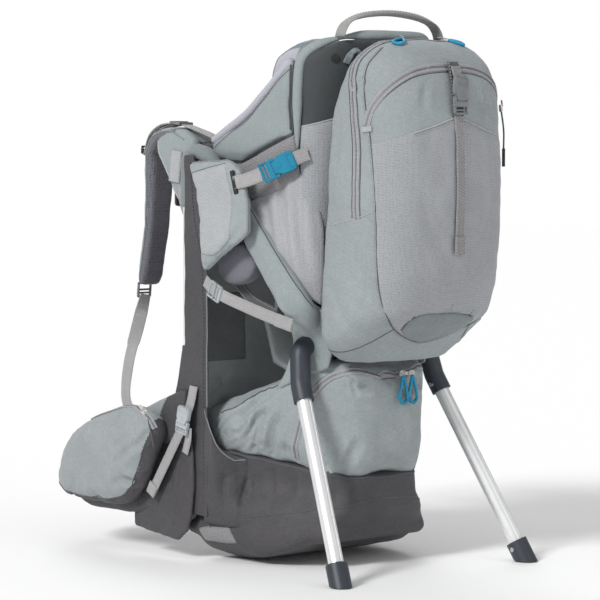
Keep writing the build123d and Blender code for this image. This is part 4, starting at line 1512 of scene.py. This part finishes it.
def build_base():
    strut = points((-74, -199, 286), (-74, -216, 67), (74, -216, 67), (74, -199, 286))
    rail = points((-150, 0, 46), (-90, -212, 46), (90, -212, 46), (150, 0, 46))
    skin = Skin(storage_bag(strut))
    storage_seams(skin)
    boot_details(Skin(base_boot(strut, rail, skin)))
    storage_pulls()


# ---------------------------------------------------------------- hip belt
def hip_wings():
    """The belt's padded wings, and the rise of each towards the back."""
    wing = soft_form("hip_wing_pad_left", ["hip_wing_left"], 4.5, 8, -0.5)
    inflate(wing, 4.0, 4.0)
    subdivide(wing)
    twins(wing, "charcoal", "frame", "hip_wing_left")
    outline = [(112, 186), (92, 200), (52, 216), (14, 230), (-10, 238), (-20, 238), (-20, 160), (112, 160)]
    rise = slab_form("hip_wing_rise_left", outline, -176, -160, voxel=3.5, rounds=8)
    inflate(rise, 3.0, 3.0)
    rise.data.materials.append(MATERIALS["hip_cloth"])
    paint_region(rise, "charcoal", lambda x, y, z: y < 30 - (z - 200) * 0.4)
    seam = points((-178, 44, 166), (-178, 37, 182), (-178, 30, 200), (-178, 21, 222))
    piping("hip_rise_seam", Skin(rise), seam, "frame", 0.9, "shell_dark", both=True)
    twins(rise, "hip_cloth", "frame")


def hip_pockets():
    """The zipped pocket on each wing."""
    body = "frame"
    pocket = slab_form("hip_pocket_bag_left", [(252, 84), (251, 100), (245, 114), (232, 140), (218, 157),
                                               (191, 175), (160, 188), (128, 199), (100, 206), (70, 211),
                                               (48, 210), (28, 203), (14, 190), (12, 174), (22, 158),
                                               (36, 132), (50, 106), (64, 84), (84, 72), (110, 67), (150, 65),
                                               (190, 66), (226, 70)], -203, -176, voxel=4.5, rounds=12,
                       grow=1.2, soften=2)
    co = read(pocket.data)
    y = co[:, 1] / MM - CENTRE_Y
    co[:, 0] += np.interp(y, [150, 200, 252], [0, 4, 24]) * MM
    co[:, 1] += np.maximum(y - 110, 0) * 0.1 * MM
    write(pocket.data, co)
    inflate(pocket, 5.0, 9.0, slack=0.03)
    folds = [points((-206, 30, 196), (-208, 44, 178), (-210, 62, 160)),
             points((-204, 52, 208), (-208, 62, 190), (-210, 80, 172)),
             points((-206, 16, 182), (-208, 32, 166), (-210, 50, 152)),
             points((-200, 78, 211), (-208, 92, 192), (-210, 112, 178)),
             points((-206, 40, 92), (-210, 60, 100), (-212, 84, 116)),
             points((-207, 100, 72), (-211, 110, 86), (-212, 118, 104)),
             points((-207, 140, 72), (-211, 148, 86), (-212, 150, 104)),
             points((-206, 190, 74), (-209, 190, 90), (-210, 186, 108)),
             points((-200, 40, 200), (-206, 60, 176), (-208, 90, 150)),
             points((-204, 30, 176), (-208, 60, 150), (-209, 88, 132)),
             points((-206, 66, 106), (-209, 84, 104), (-210, 100, 100))]
    crease(pocket, folds, 5.5, 3.6)
    ripple(pocket, 0.8, 45.0, 11.0)
    subdivide(pocket)
    # below this line the pocket is of the dark cloth
    line_y, line_z = zip(*fair([(16, 182), (26, 166), (38, 142), (50, 118), (62, 98), (76, 84), (100, 76),
                                (130, 73), (170, 73), (215, 77), (276, 88)], 2, closed=False))
    pocket.data.materials.append(MATERIALS["hip_cloth"])
    paint_region(pocket, "charcoal", lambda x, y, z: y < 17 or z < np.interp(y - 1.5, line_y, line_z) + 1.5)
    twins(pocket, "hip_cloth", body, "hip_pocket_left")
    skin = Skin(pocket)
    edge = points(*[(-207 + float(np.interp(y, [160, 215, 272], [0, 5, 26])), y, z)
                    for y, z in zip(line_y[::-1], line_z[::-1])])
    piping("hip_pocket_piping", skin, edge, body, 0.9, "seam", both=True)
    zip_line = points((-190, 172, 196), (-194, 130, 206), (-194, 96, 212), (-196, 66, 211), (-200, 42, 205),
                      (-203, 22, 196), (-202, 12, 184))
    zipper("hip_zip", skin, zip_line, body, 8, both=True)
    spot, out = skin.settle([at(-200, 36, 203)], 1.4)
    cord = points((-205, 24, 196), (-208, 16, 184), (-208, 12, 172), (-206, 10, 158))
    for side, label in SIDES:
        zip_slider("hip_slider_" + label, on_side(spot, side)[0], (0, -0.8, -0.6), on_side(out, side)[0],
                   body)
        cord_loop("hip_pull_" + label, on_side(cord, side), (side, 0, 0), body, 1.0, "cord_dark")


def hip_fins():
    """The stiff fin under each wing, with its strap and buckle."""
    body = "frame"
    fin = slab_form("hip_fin_cloth_left", [(98, 37), (99, 60), (86, 78), (68, 96), (45, 118), (27, 142),
                                           (12, 172), (-24, 176), (-34, 150), (-34, 100), (-30, 66),
                                           (-20, 40), (2, 24)], -172.5, -165.8, voxel=2.6, rounds=4)
    ripple(fin, 0.9, 45.0, 12.0)
    crease(fin, [points((-173, -6, 134), (-173, 2, 90), (-173, 6, 40))], 3.0, 1.5)
    twins(fin, "charcoal", body, "hip_fins")
    piping("fin_arc_seam", Skin(fin), points((-175, 97, 57), (-175, 82, 66), (-175, 56, 70), (-175, 28, 62),
                                            (-175, 8, 46)), body, 0.6, "seam", both=True)
    upper = points((-168, -32, 244), (-172, -30, 222), (-176, -28, 208))
    lower = points((-179, -18, 184), (-182, 8, 142), (-183, 32, 106), (-181, 45, 90))
    webbing("fin_strap_upper", upper, [(-1, 0, 0.1)] * 3, body, 17, 2.0, ["hip_fin_straps"], both=True)
    webbing("fin_strap_lower", lower, [(-1, 0, 0.1)] * 4, body, 17, 2.0, both=True)
    webbing("fin_strap_behind", points((-176, -30, 186), (-176, -29, 170), (-176, -22, 150)),
            [(-1, 0, 0)] * 3, body, 13, 1.6, both=True)
    fold = points((-184.6, 37, 102), (-184.2, 46, 87))
    webbing("fin_strap_fold", fold, [(-1, 0, 0)] * 2, body, 18.6, 2.0, both=True)
    for side, label in SIDES:
        side_release("fin_buckle_" + label, at(side * 180, -23, 197), (0, 0.22, -1), (side, 0, 0.05), 38, 25,
                     "pale_plastic", body)


def waist_belt():
    """The belt webbing and the two halves of its buckle; the right half comes away with the plug."""
    for side, label in SIDES:
        rides_on = "frame" if side == LEFT else "waist_plug"
        line = points((side * 150, 270, 94), (side * 140, 285, 95), (side * 112, 294, 96),
                      (side * 74, 294, 96), (side * 40, 294, 96))
        ups = [(side * 0.8, 0.6, 0), (side * 0.5, 0.85, 0), (side * 0.1, 1, 0), (0, 1, 0), (0, 1, 0)]
        obj = webbing("waist_belt_" + label, line, ups, rides_on, 34, 2.2, ["waist_strap_" + label],
                      sewn=side == LEFT)
        if side == RIGHT:
            obj.parent = None
            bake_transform(obj)
    socket = Moulding(at(-18, 294, 96), (1, 0, 0), (0, 1, 0))
    socket.prism([(-23, -22), (-23, 22), (-19, 24), (12, 24), (16, 16), (23, 14), (23, -14), (16, -16),
                  (12, -24), (-19, -24)], -6.5, 6.5, 1.6)
    socket.block(-15, 0, 7.2, (3, 36, 2), 0.7)
    socket.prism([(-8, -5), (-8, 5), (4, 7), (9, 0), (4, -7)], 6, 7.6, 0.6)
    socket.make("waist_socket", "dark_plastic", "frame", ["waist_buckle_socket"])
    plug = Moulding(at(22, 294, 96), (1, 0, 0), (0, 1, 0))
    plug.prism([(-14, -22), (-14, 22), (4, 23), (16, 20), (16, -20), (4, -23)], -6, 6, 1.6)
    for y in (-17.5, 17.5):
        plug.prism([(-34, y - 3.2), (-34, y + 3.2), (-13, y + 4), (-13, y - 4)], -2.8, 2.8, 0.6)
    plug.block(10, 0, 6.2, (3, 34, 2.2), 0.7)
    plug.make("waist_plug_half", "dark_plastic", "waist_plug", ["waist_buckle_plug"])


def build_hip():
    hip_wings()
    hip_pockets()
    hip_fins()
    waist_belt()


# ---------------------------------------------------------------- back and harness
def build_back():
    body = "frame"
    back = [points((-80, 34, z), (0, 34, z), (80, 34, z)) for z in (260, 330, 400, 470)]
    back += [points((x, 34, 230), (x, 34, 520)) for x in (-34, 34)]
    lumbar = [points((x, 44, 110), (x, 44, 175)) for x in (-60, 0, 60)]
    for name, node, channels in (("back_pad", "back_panel_pad", back),
                                 ("lumbar_cushion", "lumbar_pad", lumbar)):
        pad = soft_form(name, [node], 5.0, 7, -1.5)
        inflate(pad, 4.0, 6.0)
        crease(pad, channels, 6.0, 3.5)
        subdivide(pad)
        finish_piece(pad, "pad", body, [node])
        skin = Skin(pad)
        for channel in channels:
            # the harness yoke slides over the upper part, which is left without raised thread
            clear = [p for p in resample(channel) if p.z < 325 * MM]
            if clear:
                path, outs = skin.settle(clear)
                stitch(path, outs, body, thread="thread_dark")


def build_side_bands():
    """The dark bands between the frame tubes and the back pad, on each side."""
    body = "frame"
    bands = soft_form("side_band_cloth", ["side_bands"], 2.2, 3)
    co = read(bands.data)
    y, z = co[:, 1] / MM - CENTRE_Y, co[:, 2] / MM
    y = np.minimum(y, np.interp(z, [225, 262, 305], [15, 3, -12]))
    y += np.interp(z, [255, 300], [0, 6]) * np.clip((y + 34) / 22, 0, 1)
    co[:, 1] = (y + CENTRE_Y) * MM
    write(bands.data, co)
    ripple(bands, 0.8, 70.0, 13.0)
    finish_piece(bands, "charcoal", body, ["side_bands"])
    skin = Skin(bands)
    piping("side_band_seam", skin, points((-165.4, 12, 240), (-165.4, -56, 240)), body, 0.8, "seam",
           both=True)
    piping("side_band_piping", skin, points((-165, -57, 392), (-165, -57, 330), (-165, -57, 270),
                                            (-165, -57, 216)), body, 0.9, "shell_dark", both=True)
    path, outs = skin.settle(resample(points((-166, -22, 556), (-166, -30, 480), (-166, -48, 400),
                                             (-166, -50, 250), (-166, -50, 80))))
    stitch(path, outs, body, thread="thread_dark")


def build_wraps():
    """The cloth round the upper corners and the top bar of the frame, and the clips on its tubes."""
    body = "frame"
    corner = points((-150, 0, 494), (-150, 0, 551), (-150, -6, 564), (-150, -19, 570), (-150, -28, 569.5),
                    (-149.5, -46, 562), (-148, -66, 539))
    for side, label in SIDES:
        path = resample(on_side(corner, side), 5.0)
        form = sweep(path, [Vector((side, 0.01, 0.02))] * len(path), oval(11.2, 11.2))
        wrap = mesh_object("frame_corner_wrap_" + label, *form)
        ripple(wrap, 0.5, 30.0, 23.0)
        finish_piece(wrap, "shell_dark", body)
    bar = resample(points((-136, -20, 570), (136, -20, 570)), 6.0)
    yoke_wrap = mesh_object("frame_yoke_wrap", *sweep(bar, [Vector((0, 0, 1))] * len(bar), oval(11.6, 11.6)))
    ripple(yoke_wrap, 0.6, 30.0, 24.0)
    finish_piece(yoke_wrap, "charcoal", body)
    for side, label in SIDES:
        clip = Moulding(at(side * 150, 0, 286), (1, 0, 0), (0, 0, 1))
        clip.prism(oval(9.8, 9.8), -13, 13, 1.0)
        clip.make("tube_clip_" + label, "dark_plastic", body)


def harness_pads():
    """The yoke pad and the shoulder pads, spacer mesh below and shell cloth on top."""
    body = "harness"
    yoke = soft_form("harness_yoke_pad", ["harness_yoke"], 4.0, 4, -0.5)
    subdivide(yoke)
    finish_piece(yoke, "pad", body, ["harness_yoke"])
    strap = soft_form("shoulder_pad_left", ["shoulder_strap_left"], 4.0, 7, -0.3)
    inflate(strap, 4.0, 4.0)
    co = read(strap.data)
    y, z = co[:, 1] / MM - CENTRE_Y, co[:, 2] / MM
    taper = np.interp(z, [370, 374, 380, 390, 410, 470, 545], [0.3, 0.46, 0.62, 0.74, 0.8, 0.88, 1])
    narrow = np.where(y > 118, taper, 1)
    co[:, 0] = -0.085 + (co[:, 0] + 0.085) * narrow
    write(strap.data, co)
    relax(strap.data, 2)
    subdivide(strap)
    inner = [(46, 560), (60, 582), (90, 594), (122, 588), (138, 568), (141, 520), (148, 456), (167, 372)]
    outer = [(34, 560), (50, 593), (90, 608), (128, 602), (150, 576), (153, 520), (160, 458), (179, 374)]
    middle = [((a + c) / 2, (b + d) / 2) for (a, b), (c, d) in zip(inner, outer)]
    strap.data.materials.append(MATERIALS["spacer"])
    strap.data.materials.append(MATERIALS["shell"])
    path = [Vector((y, z)) for y, z in middle]
    for face in strap.data.polygons:
        c = face.center / MM
        spot = Vector((c.y - CENTRE_Y, c.z))
        i = min(range(len(path)), key=lambda k: (path[k] - spot).length)
        low = max(0, min(i, len(path) - 2))
        run = (path[low + 1] - path[low]).normalized()
        side = run.x * (spot.y - path[low].y) - run.y * (spot.x - path[low].x)
        face.material_index = 1 if side > 1.0 else 0
    twins(strap, "spacer", body, "shoulder_strap_left")
    skin = Skin(strap)
    for label, half in (("outer", -31), ("inner", 31)):
        shares = [1.0 if y < 118 else np.interp(z, [370, 390, 410, 470, 545], [0.5, 0.74, 0.8, 0.88, 1])
                  for y, z in middle[1:]]
        run = [(-85 + half * float(share), y, z) for share, (y, z) in zip(shares, middle[1:])]
        piping("shoulder_binding_" + label, skin, points(*run), body, 1.4, "shell_dark",
               both=True)


def shoulder_roots():
    """The side wall where each shoulder strap starts, and the webbing sewn on it."""
    body = "harness"
    leg = slab_form("shoulder_root_left", [(34, 588), (62, 604), (96, 603), (120, 590), (119, 572),
                                           (106, 552), (94, 534), (80, 512), (64, 494), (48, 486), (34, 492),
                                           (28, 530)], -112, -96, voxel=3.5, rounds=7)
    inflate(leg, 3.0, 3.0)
    subdivide(leg)
    twins(leg, "smooth", body)
    piping("shoulder_root_binding", Skin(leg), points((-114, 121, 588), (-114, 120, 572), (-114, 107, 552),
                                                      (-114, 95, 534), (-114, 81, 512), (-114, 64, 494)),
           body, 1.8, "binding", both=True)
    webbing("shoulder_root_tab", points((-116, 68, 572), (-116.5, 71, 550), (-116, 74, 528)),
            [(-1, 0, 0)] * 3, body, 24, 2.2, both=True, material="binding")
    webbing("shoulder_root_webbing", points((-113, 66, 520), (-113, 54, 490), (-112, 40, 462)),
            [(-1, 0, 0)] * 3, body, 15, 1.8, both=True)


def harness_webbing():
    """The webbing on the shoulder pads and from them to the frame, and the strap across the chest."""
    body = "harness"
    webbing("shoulder_face_strap", points((-85, 100, 609.5), (-85, 132, 603.5), (-85, 152.5, 577),
                                          (-85, 156, 520), (-85, 163, 458), (-86, 181, 378)),
            [(0, 0.1, 1), (0, 0.5, 0.9), (0, 0.95, 0.4), (0, 1, 0.1), (0, 1, 0.15), (0, 1, 0.3)], body, 20,
            1.8, both=True)
    for side, label in SIDES:
        ladderlock("shoulder_lock_" + label, at(side * 88, 178, 369), (0, 0.1, -1), (0, 1, 0.2), 22, 25,
                   "grey_plastic", body)
        lower = points((side * 88, 175, 362), (side * 97, 182, 316), (side * 116, 180, 262),
                       (side * 133, 165, 212), (side * 142, 130, 190), (side * 147, 70, 184),
                       (side * 149, 20, 184))
        ups = [(0, 1, 0.2), (-side * 0.7, 0.7, 0), (-side, 0.25, 0), (-side, 0.15, 0), (-side, 0.1, -0.1),
               (-side, 0, -0.1), (-side, 0, -0.1)]
        obj = webbing("shoulder_lower_webbing_" + label, lower, ups, body, 19, 1.8,
                      ["shoulder_webbing"] if side == LEFT else [], sewn=False)
        obj.parent = None
        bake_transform(obj)
        lifter = points((side * 91, -14, 583), (side * 91, 34, 598), (side * 91, 80, 610))
        obj = webbing("load_lifter_" + label, lifter, [(0, -0.3, 1)] * 3, "frame", 19, 2.0,
                      ["load_lifters"] if side == LEFT else [], sewn=False)
        obj.parent = None
        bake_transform(obj)
        ladderlock("load_lifter_lock_" + label, at(side * 91, 88, 612), (0, 1, 0.1), (0, -0.1, 1), 25, 25,
                   "grey_plastic", body)
        ladderlock("lifter_anchor_" + label, at(side * 91, -22, 583), (0, -1, 0.1), (0, 0, 1), 22, 26,
                   "dark_plastic", "frame")
        tail = points((side * 91, 96, 612), (side * 91, 128, 609), (side * 92, 152, 594),
                      (side * 93, 163, 566))
        webbing("lifter_tail_" + label, tail, [(0, 0, 1), (0, 0.4, 0.9), (0, 0.8, 0.6), (0, 1, 0.1)], body,
                17, 1.8)
        ladderlock("lifter_tail_end_" + label, at(side * 93, 164, 574), (0, 0.1, -1), (0, 1, 0.1), 12, 21,
                   "dark_plastic", body)
    for label, start, end, node in (("left", -54, -30, ["sternum_strap"]), ("right", 4, 54, [])):
        webbing("sternum_webbing_" + label, points((start, 148, 503), (end, 148, 503)), [(0, 1, 0)] * 2,
                "sternum", 17, 2.0, node)
    side_release("sternum_clip", at(-24, 148, 503), (1, 0, 0), (0, 1, 0), 56, 24, "dark_plastic", "sternum",
                 ["sternum_buckle"])


def build_harness():
    harness_pads()
    shoulder_roots()
    harness_webbing()


# ---------------------------------------------------------------- child's seat and handle
def build_seat():
    body = "frame"
    sling = soft_form("seat_hammock", ["seat_sling"], 4.0, 4)
    subdivide(sling)
    finish_piece(sling, "lining", body, ["seat_sling"])
    back = soft_form("seat_back_cushion", ["seat_back_pad"], 5.0, 6, -1.0)
    inflate(back, 4.0, 6.0)
    channels = [points((-70, -188, z), (0, -188, z), (70, -188, z)) for z in (410, 460, 510)]
    crease(back, channels, 6.0, 3.0)
    subdivide(back)
    finish_piece(back, "pad", body, ["seat_back_pad"])
    for side, label in SIDES:
        line = points((side * 40, -184, 552), (side * 38, -182, 500), (side * 36, -181, 450),
                      (side * 28, -180, 412))
        webbing("child_shoulder_strap_" + label, line, [(0, 1, 0)] * 4, body, 24, 5.0,
                ["child_harness"] if side == LEFT else [])
    webbing("child_crotch_strap", points((0, -118, 266), (0, -138, 306), (0, -158, 344), (0, -180, 370)),
            [(0, 0.8, 0.5), (0, 0.9, 0.4), (0, 0.8, 0.6), (0, 0.9, 0.5)], body, 24, 2.4)
    clasp = Moulding(at(0, -184, 388), (0, 0, 1), (0, 1, 0))
    clasp.prism([(-22, -14), (-22, 14), (-12, 24), (12, 26), (22, 18), (22, -18), (12, -26), (-12, -24)], -6,
                6, 1.8)
    clasp.prism(oval(9, 9), 5, 8, 0.8)
    clasp.make("child_clasp", "dark_plastic", body, ["child_buckle"])


def build_handle():
    body = "handle"
    line = points((-93, -251, 725), (-90, -251, 734), (-80, -251, 745), (-58, -251, 753), (-30, -251, 757.5),
                  (0, -251, 759))
    path = resample(arch(line), 4.0)
    outs = [Vector((p.x * 6, 0, 1)).normalized() for p in path]

    def section(t):
        fat = 1.0 - min(1.0, abs(t - 0.5) * 2 / 0.72) ** 4
        return oval((20.0 - 1.5 * fat) / 2, (3.0 + 5.0 * fat) / 2, powers=(0.6, 0.8))

    obj = mesh_object("grab_handle", *sweep(path, outs, section))
    finish_piece(obj, "handle", body, ["top_handle"])
    skin = Skin(obj)
    for shift in (-6.5, 6.5):
        places, ups = skin.settle([p + Vector((0, shift * MM, 0.006)) for p in path[6:-6]])
        stitch(places, ups, body)


# ---------------------------------------------------------------- camera, floor and light
def build_studio():
    floor = mesh_object("studio_floor", [(-14, -14, -0.0015), (14, -14, -0.0015), (14, 14, -0.0015),
                                         (-14, 14, -0.0015)], [(0, 1, 2, 3)])
    pale = bpy.data.materials.new("studio_floor_paint")
    pale.use_nodes = True
    shader = pale.node_tree.nodes["Principled BSDF"]
    shader.inputs["Base Color"].default_value = (0.96, 0.96, 0.96, 1)
    shader.inputs["Roughness"].default_value = 0.9
    floor.data.materials.append(pale)
    world = bpy.data.worlds.new("studio")
    world.use_nodes = True
    tree = world.node_tree
    soft = tree.nodes["Background"]
    soft.inputs[0].default_value = (1, 1, 1, 1)
    soft.inputs[1].default_value = 0.47
    white = tree.nodes.new("ShaderNodeBackground")
    white.inputs[0].default_value = (1, 1, 1, 1)
    ray = tree.nodes.new("ShaderNodeLightPath")
    mix = tree.nodes.new("ShaderNodeMixShader")
    tree.links.new(ray.outputs["Is Camera Ray"], mix.inputs[0])
    tree.links.new(soft.outputs[0], mix.inputs[1])
    tree.links.new(white.outputs[0], mix.inputs[2])
    tree.links.new(mix.outputs[0], tree.nodes["World Output"].inputs[0])
    scene.world = world
    scene.view_settings.view_transform = "Standard"
    # softbox heading, strength, spread in degrees
    for name, place, power, spread in (("key", (-1.0, -0.17, 0.72), 2.2, 14),
                                       ("fill", (0.2, -1.0, 0.35), 0.3, 40),
                                       ("rim", (0.6, 1.0, 0.9), 0.7, 30)):
        light = bpy.data.lights.new(name, "SUN")
        light.energy = power
        light.angle = math.radians(spread)
        lamp = bpy.data.objects.new(name, light)
        scene.collection.objects.link(lamp)
        lamp.rotation_euler = (-Vector(place)).to_track_quat("-Z", "Y").to_euler()
    lens = bpy.data.cameras.new("camera")
    lens.sensor_width = 36.0
    lens.lens = 163.9
    lens.clip_end = 100.0
    camera = bpy.data.objects.new("camera", lens)
    scene.collection.objects.link(camera)
    camera.location = (-2.5916, -2.9146, 0.5628)
    heading, pitch = math.radians(43.0 - 1.143), math.radians(2.99)
    forward = Vector((math.sin(heading) * math.cos(pitch), math.cos(heading) * math.cos(pitch),
                      -math.sin(pitch)))
    camera.rotation_euler = forward.to_track_quat("-Z", "Y").to_euler()
    scene.camera = camera


def build_stitches():
    for (body, thread), (verts, faces) in STITCHES.items():
        obj = mesh_object("stitching_%s_%s" % (body, thread.split("_")[-1]), verts, faces)
        obj.data.materials.append(MATERIALS[thread])
        obj.data.shade_flat()
        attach(obj, body)


build_studio()
finish_cad()
build_daypack()
build_cockpit()
build_shell()
build_headrest()
build_flap()
build_side_straps()
build_sleeve()
build_mesh_panel()
build_bulb_pads()
build_base()
build_linings()
build_hip()
build_back()
build_side_bands()
build_wraps()
build_harness()
build_seat()
build_handle()
build_stitches()
